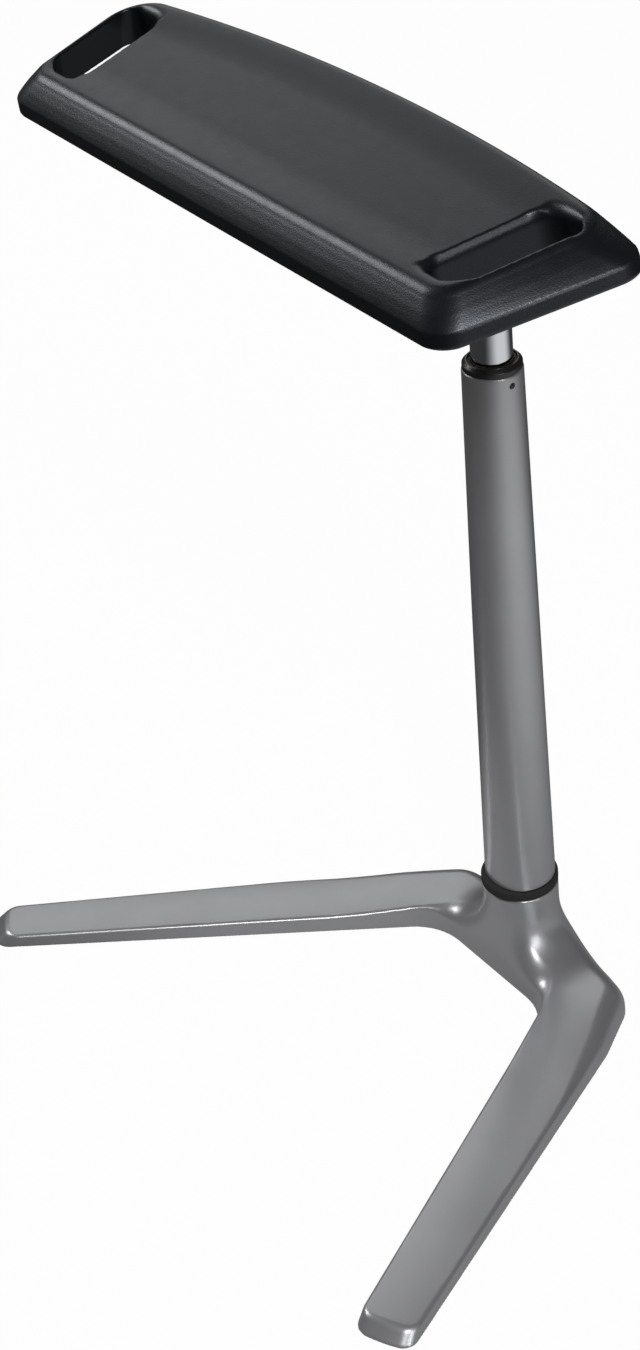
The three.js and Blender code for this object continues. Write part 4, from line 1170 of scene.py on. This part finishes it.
@dataclass(frozen=True)
class Studio:
    """The camera, the lamps and the pale floor.

    The camera's offset from the collar is in millimetres. Each pool is a painted pool of light: a soft round patch
    of glow that the floor shows only in mirrors, with no lamp behind it. Its entries are its middle x and y, the
    distances where it is whole and where it ends, and its strength.
    """

    collar: Array
    camera_offset: tuple[float, float, float] = (1189.3, -977.4, 1144.2)
    azimuth: float = 56.51
    elevation: float = 30.79
    roll: float = -1.02
    lens: float = 68.44
    shift: Point = (0.0144, -0.0463)
    camera_glow: float = 0.98
    dim_glow: float = 0.05
    # painted pools of light on the floor, glowing only in reflections
    painted_light_pools: tuple[tuple[float, float, float, float, float], ...] = (
        (1.05, 0.45, 0.3, 1.4, 0.82),
        (-0.12, 0.0, 0.03, 0.25, 0.33),
    )
    surround: float = 0.05
    floor_colour: Colour = (0.5, 0.5, 0.5)
    floor_reach: float = 9.0
    lamps: tuple[Lamp, ...] = (
        Lamp("left_lamp", (-1.9, -1.0, 1.9), (0.9, 0.9), 26.0),
        Lamp("back_lamp", (-2.15, 1.3, 2.05), (2.2, 1.8), 13.0),
        Lamp("right_lamp", (2.4, -0.1, 1.1), (0.6, 1.4), 18.0),
        Lamp("near_lamp", (1.56, -0.78, 1.95), (0.42, 0.42), 32.0),
    )

    def _camera(self) -> None:
        """Places the camera relative to the collar, looking along its own fitted angles."""
        data = bpy.data.cameras.new("photo_camera")
        data.lens = self.lens
        data.shift_x, data.shift_y = self.shift
        data.clip_end = 50.0
        camera = bpy.data.objects.new("photo_camera", data)
        bpy.context.scene.collection.objects.link(camera)
        a, e, r = (math.radians(v) for v in (self.azimuth, self.elevation, self.roll))
        back = Vector((math.sin(a) * math.cos(e), -math.cos(a) * math.cos(e), math.sin(e)))
        right = Vector((math.cos(a), math.sin(a), 0.0))
        up = back.cross(right)
        across = right * math.cos(r) + up * math.sin(r)
        upward = up * math.cos(r) - right * math.sin(r)
        turn = Matrix((across, upward, back)).transposed().to_4x4()
        spot = Vector(self.collar * MM) + Vector(self.camera_offset) * MM
        camera.matrix_world = Matrix.Translation(spot) @ turn
        bpy.context.scene.camera = camera

    def _painted_pool_glow(self, tree: bpy.types.NodeTree) -> bpy.types.NodeSocket:
        """Painted glow of the floor in mirrors: soft painted pools of light on the right and inside the V, a dim
        glow elsewhere.

        Args:
            tree: The floor's nodes.

        Returns:
            The brightness.
        """
        place = add_node(tree, "TexCoord", {}).outputs["Object"]
        total = self.dim_glow
        for spot_x, spot_y, near, far, glow in self.painted_light_pools:
            away = add_node(tree, "VectorMath", {0: place, 1: (spot_x, spot_y, 0.0)}, operation="DISTANCE")
            sockets = {"From Min": near, "From Max": far, "To Min": glow, "To Max": 0.0}
            sockets["Value"] = away.outputs["Value"]
            fall = add_node(tree, "MapRange", sockets, interpolation_type="SMOOTHSTEP")
            total = add_math(tree, "ADD", fall.outputs["Result"], total)
        return total

    def _floor(self) -> None:
        """A wide pale floor: evenly near white to the camera with the stool's soft shadow, and its painted pools
        of light in mirrors.
        """
        mesh = bpy.data.meshes.new("floor")
        r = self.floor_reach
        mesh.from_pydata([(-r, -r, 0), (r, -r, 0), (r, r, 0), (-r, r, 0)], [], [(0, 1, 2, 3)])
        floor = bpy.data.objects.new("floor", mesh)
        bpy.context.scene.collection.objects.link(floor)
        pale = bpy.data.materials.new("pale_floor")
        pale.use_nodes = True
        tree = pale.node_tree
        tree.nodes.clear()
        path = add_node(tree, "LightPath", {}).outputs
        # in mirrors the floor glows with its painted pools of light
        mirrored = add_math(tree, "MAXIMUM", path["Is Glossy Ray"], path["Is Transmission Ray"])
        strength = add_math(tree, "MULTIPLY_ADD", mirrored, self._painted_pool_glow(tree), path["Is Camera Ray"])
        share = add_math(tree, "MULTIPLY_ADD", path["Is Camera Ray"], self.camera_glow, mirrored)
        matt = add_node(tree, "BsdfDiffuse", {"Color": (*self.floor_colour, 1.0)})
        glow = add_node(tree, "Emission", {"Color": WHITE, "Strength": strength})
        blend = add_node(tree, "MixShader", {0: share, 1: matt.outputs[0], 2: glow.outputs[0]})
        add_node(tree, "OutputMaterial", {"Surface": blend.outputs[0]})
        mesh.materials.append(pale)

    def _world(self) -> None:
        """An even surround: white to the camera, dim in mirrors and as light on the stool."""
        world = bpy.data.worlds.new("studio")
        world.use_nodes = True
        tree = world.node_tree
        tree.nodes.clear()
        path = add_node(tree, "LightPath", {}).outputs
        light = add_node(tree, "Background", {"Color": WHITE, "Strength": self.surround})
        white = add_node(tree, "Background", {"Color": WHITE, "Strength": 1.0})
        blend = add_node(tree, "MixShader", {0: path["Is Camera Ray"], 1: light.outputs[0], 2: white.outputs[0]})
        add_node(tree, "OutputWorld", {"Surface": blend.outputs[0]})
        bpy.context.scene.world = world

    def build(self) -> None:
        """Makes the studio and sets the plain view."""
        self._camera()
        self._floor()
        self._world()
        for lamp in self.lamps:
            lamp.build()
        bpy.context.scene.view_settings.view_transform = "Standard"


def column_placement(bearing_depth: float = 32.0) -> Placement:
    """The column's axes from the CAD joints, with the origin in the middle of the collar's top face.

    Args:
        bearing_depth: How far the bearing's centre lies below the collar's top face.

    Returns:
        The placement, in millimetres.
    """
    joints = {j["name"]: j for j in frame["joints"]}
    axis = np.array(joints["height_slide"]["axis"], dtype=float)
    axis /= np.linalg.norm(axis)
    centre = np.array(joints["rock_fore_aft"]["pos_m"], dtype=float) / MM
    side = np.array((1.0, 0.0, 0.0))
    return Placement(centre + bearing_depth * axis, np.stack((side, np.cross(axis, side), axis), 1))


def main() -> None:
    """Builds the studio and the stool in order."""
    logging.basicConfig(level=logging.INFO, format="%(name)s: %(message)s")
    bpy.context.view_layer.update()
    column = column_placement()
    upright = Placement(column.origin - np.array((0.0, 0.0, BaseCasting.collar_height)), np.eye(3))
    tube_top = column.moved(0.0, 0.0, Column.low + Column.length + TUBE_OUT)
    Studio(column.origin).build()
    BaseCasting(upright, column).build()
    Column(column).build()
    GasSpring(tube_top).build()
    SeatPad(tube_top.moved(0.0, -SEAT_REACH, SEAT_RISE, turn_x=SEAT_TILT)).build()
    SmallParts().build()


if __name__ == "__main__":
    main()
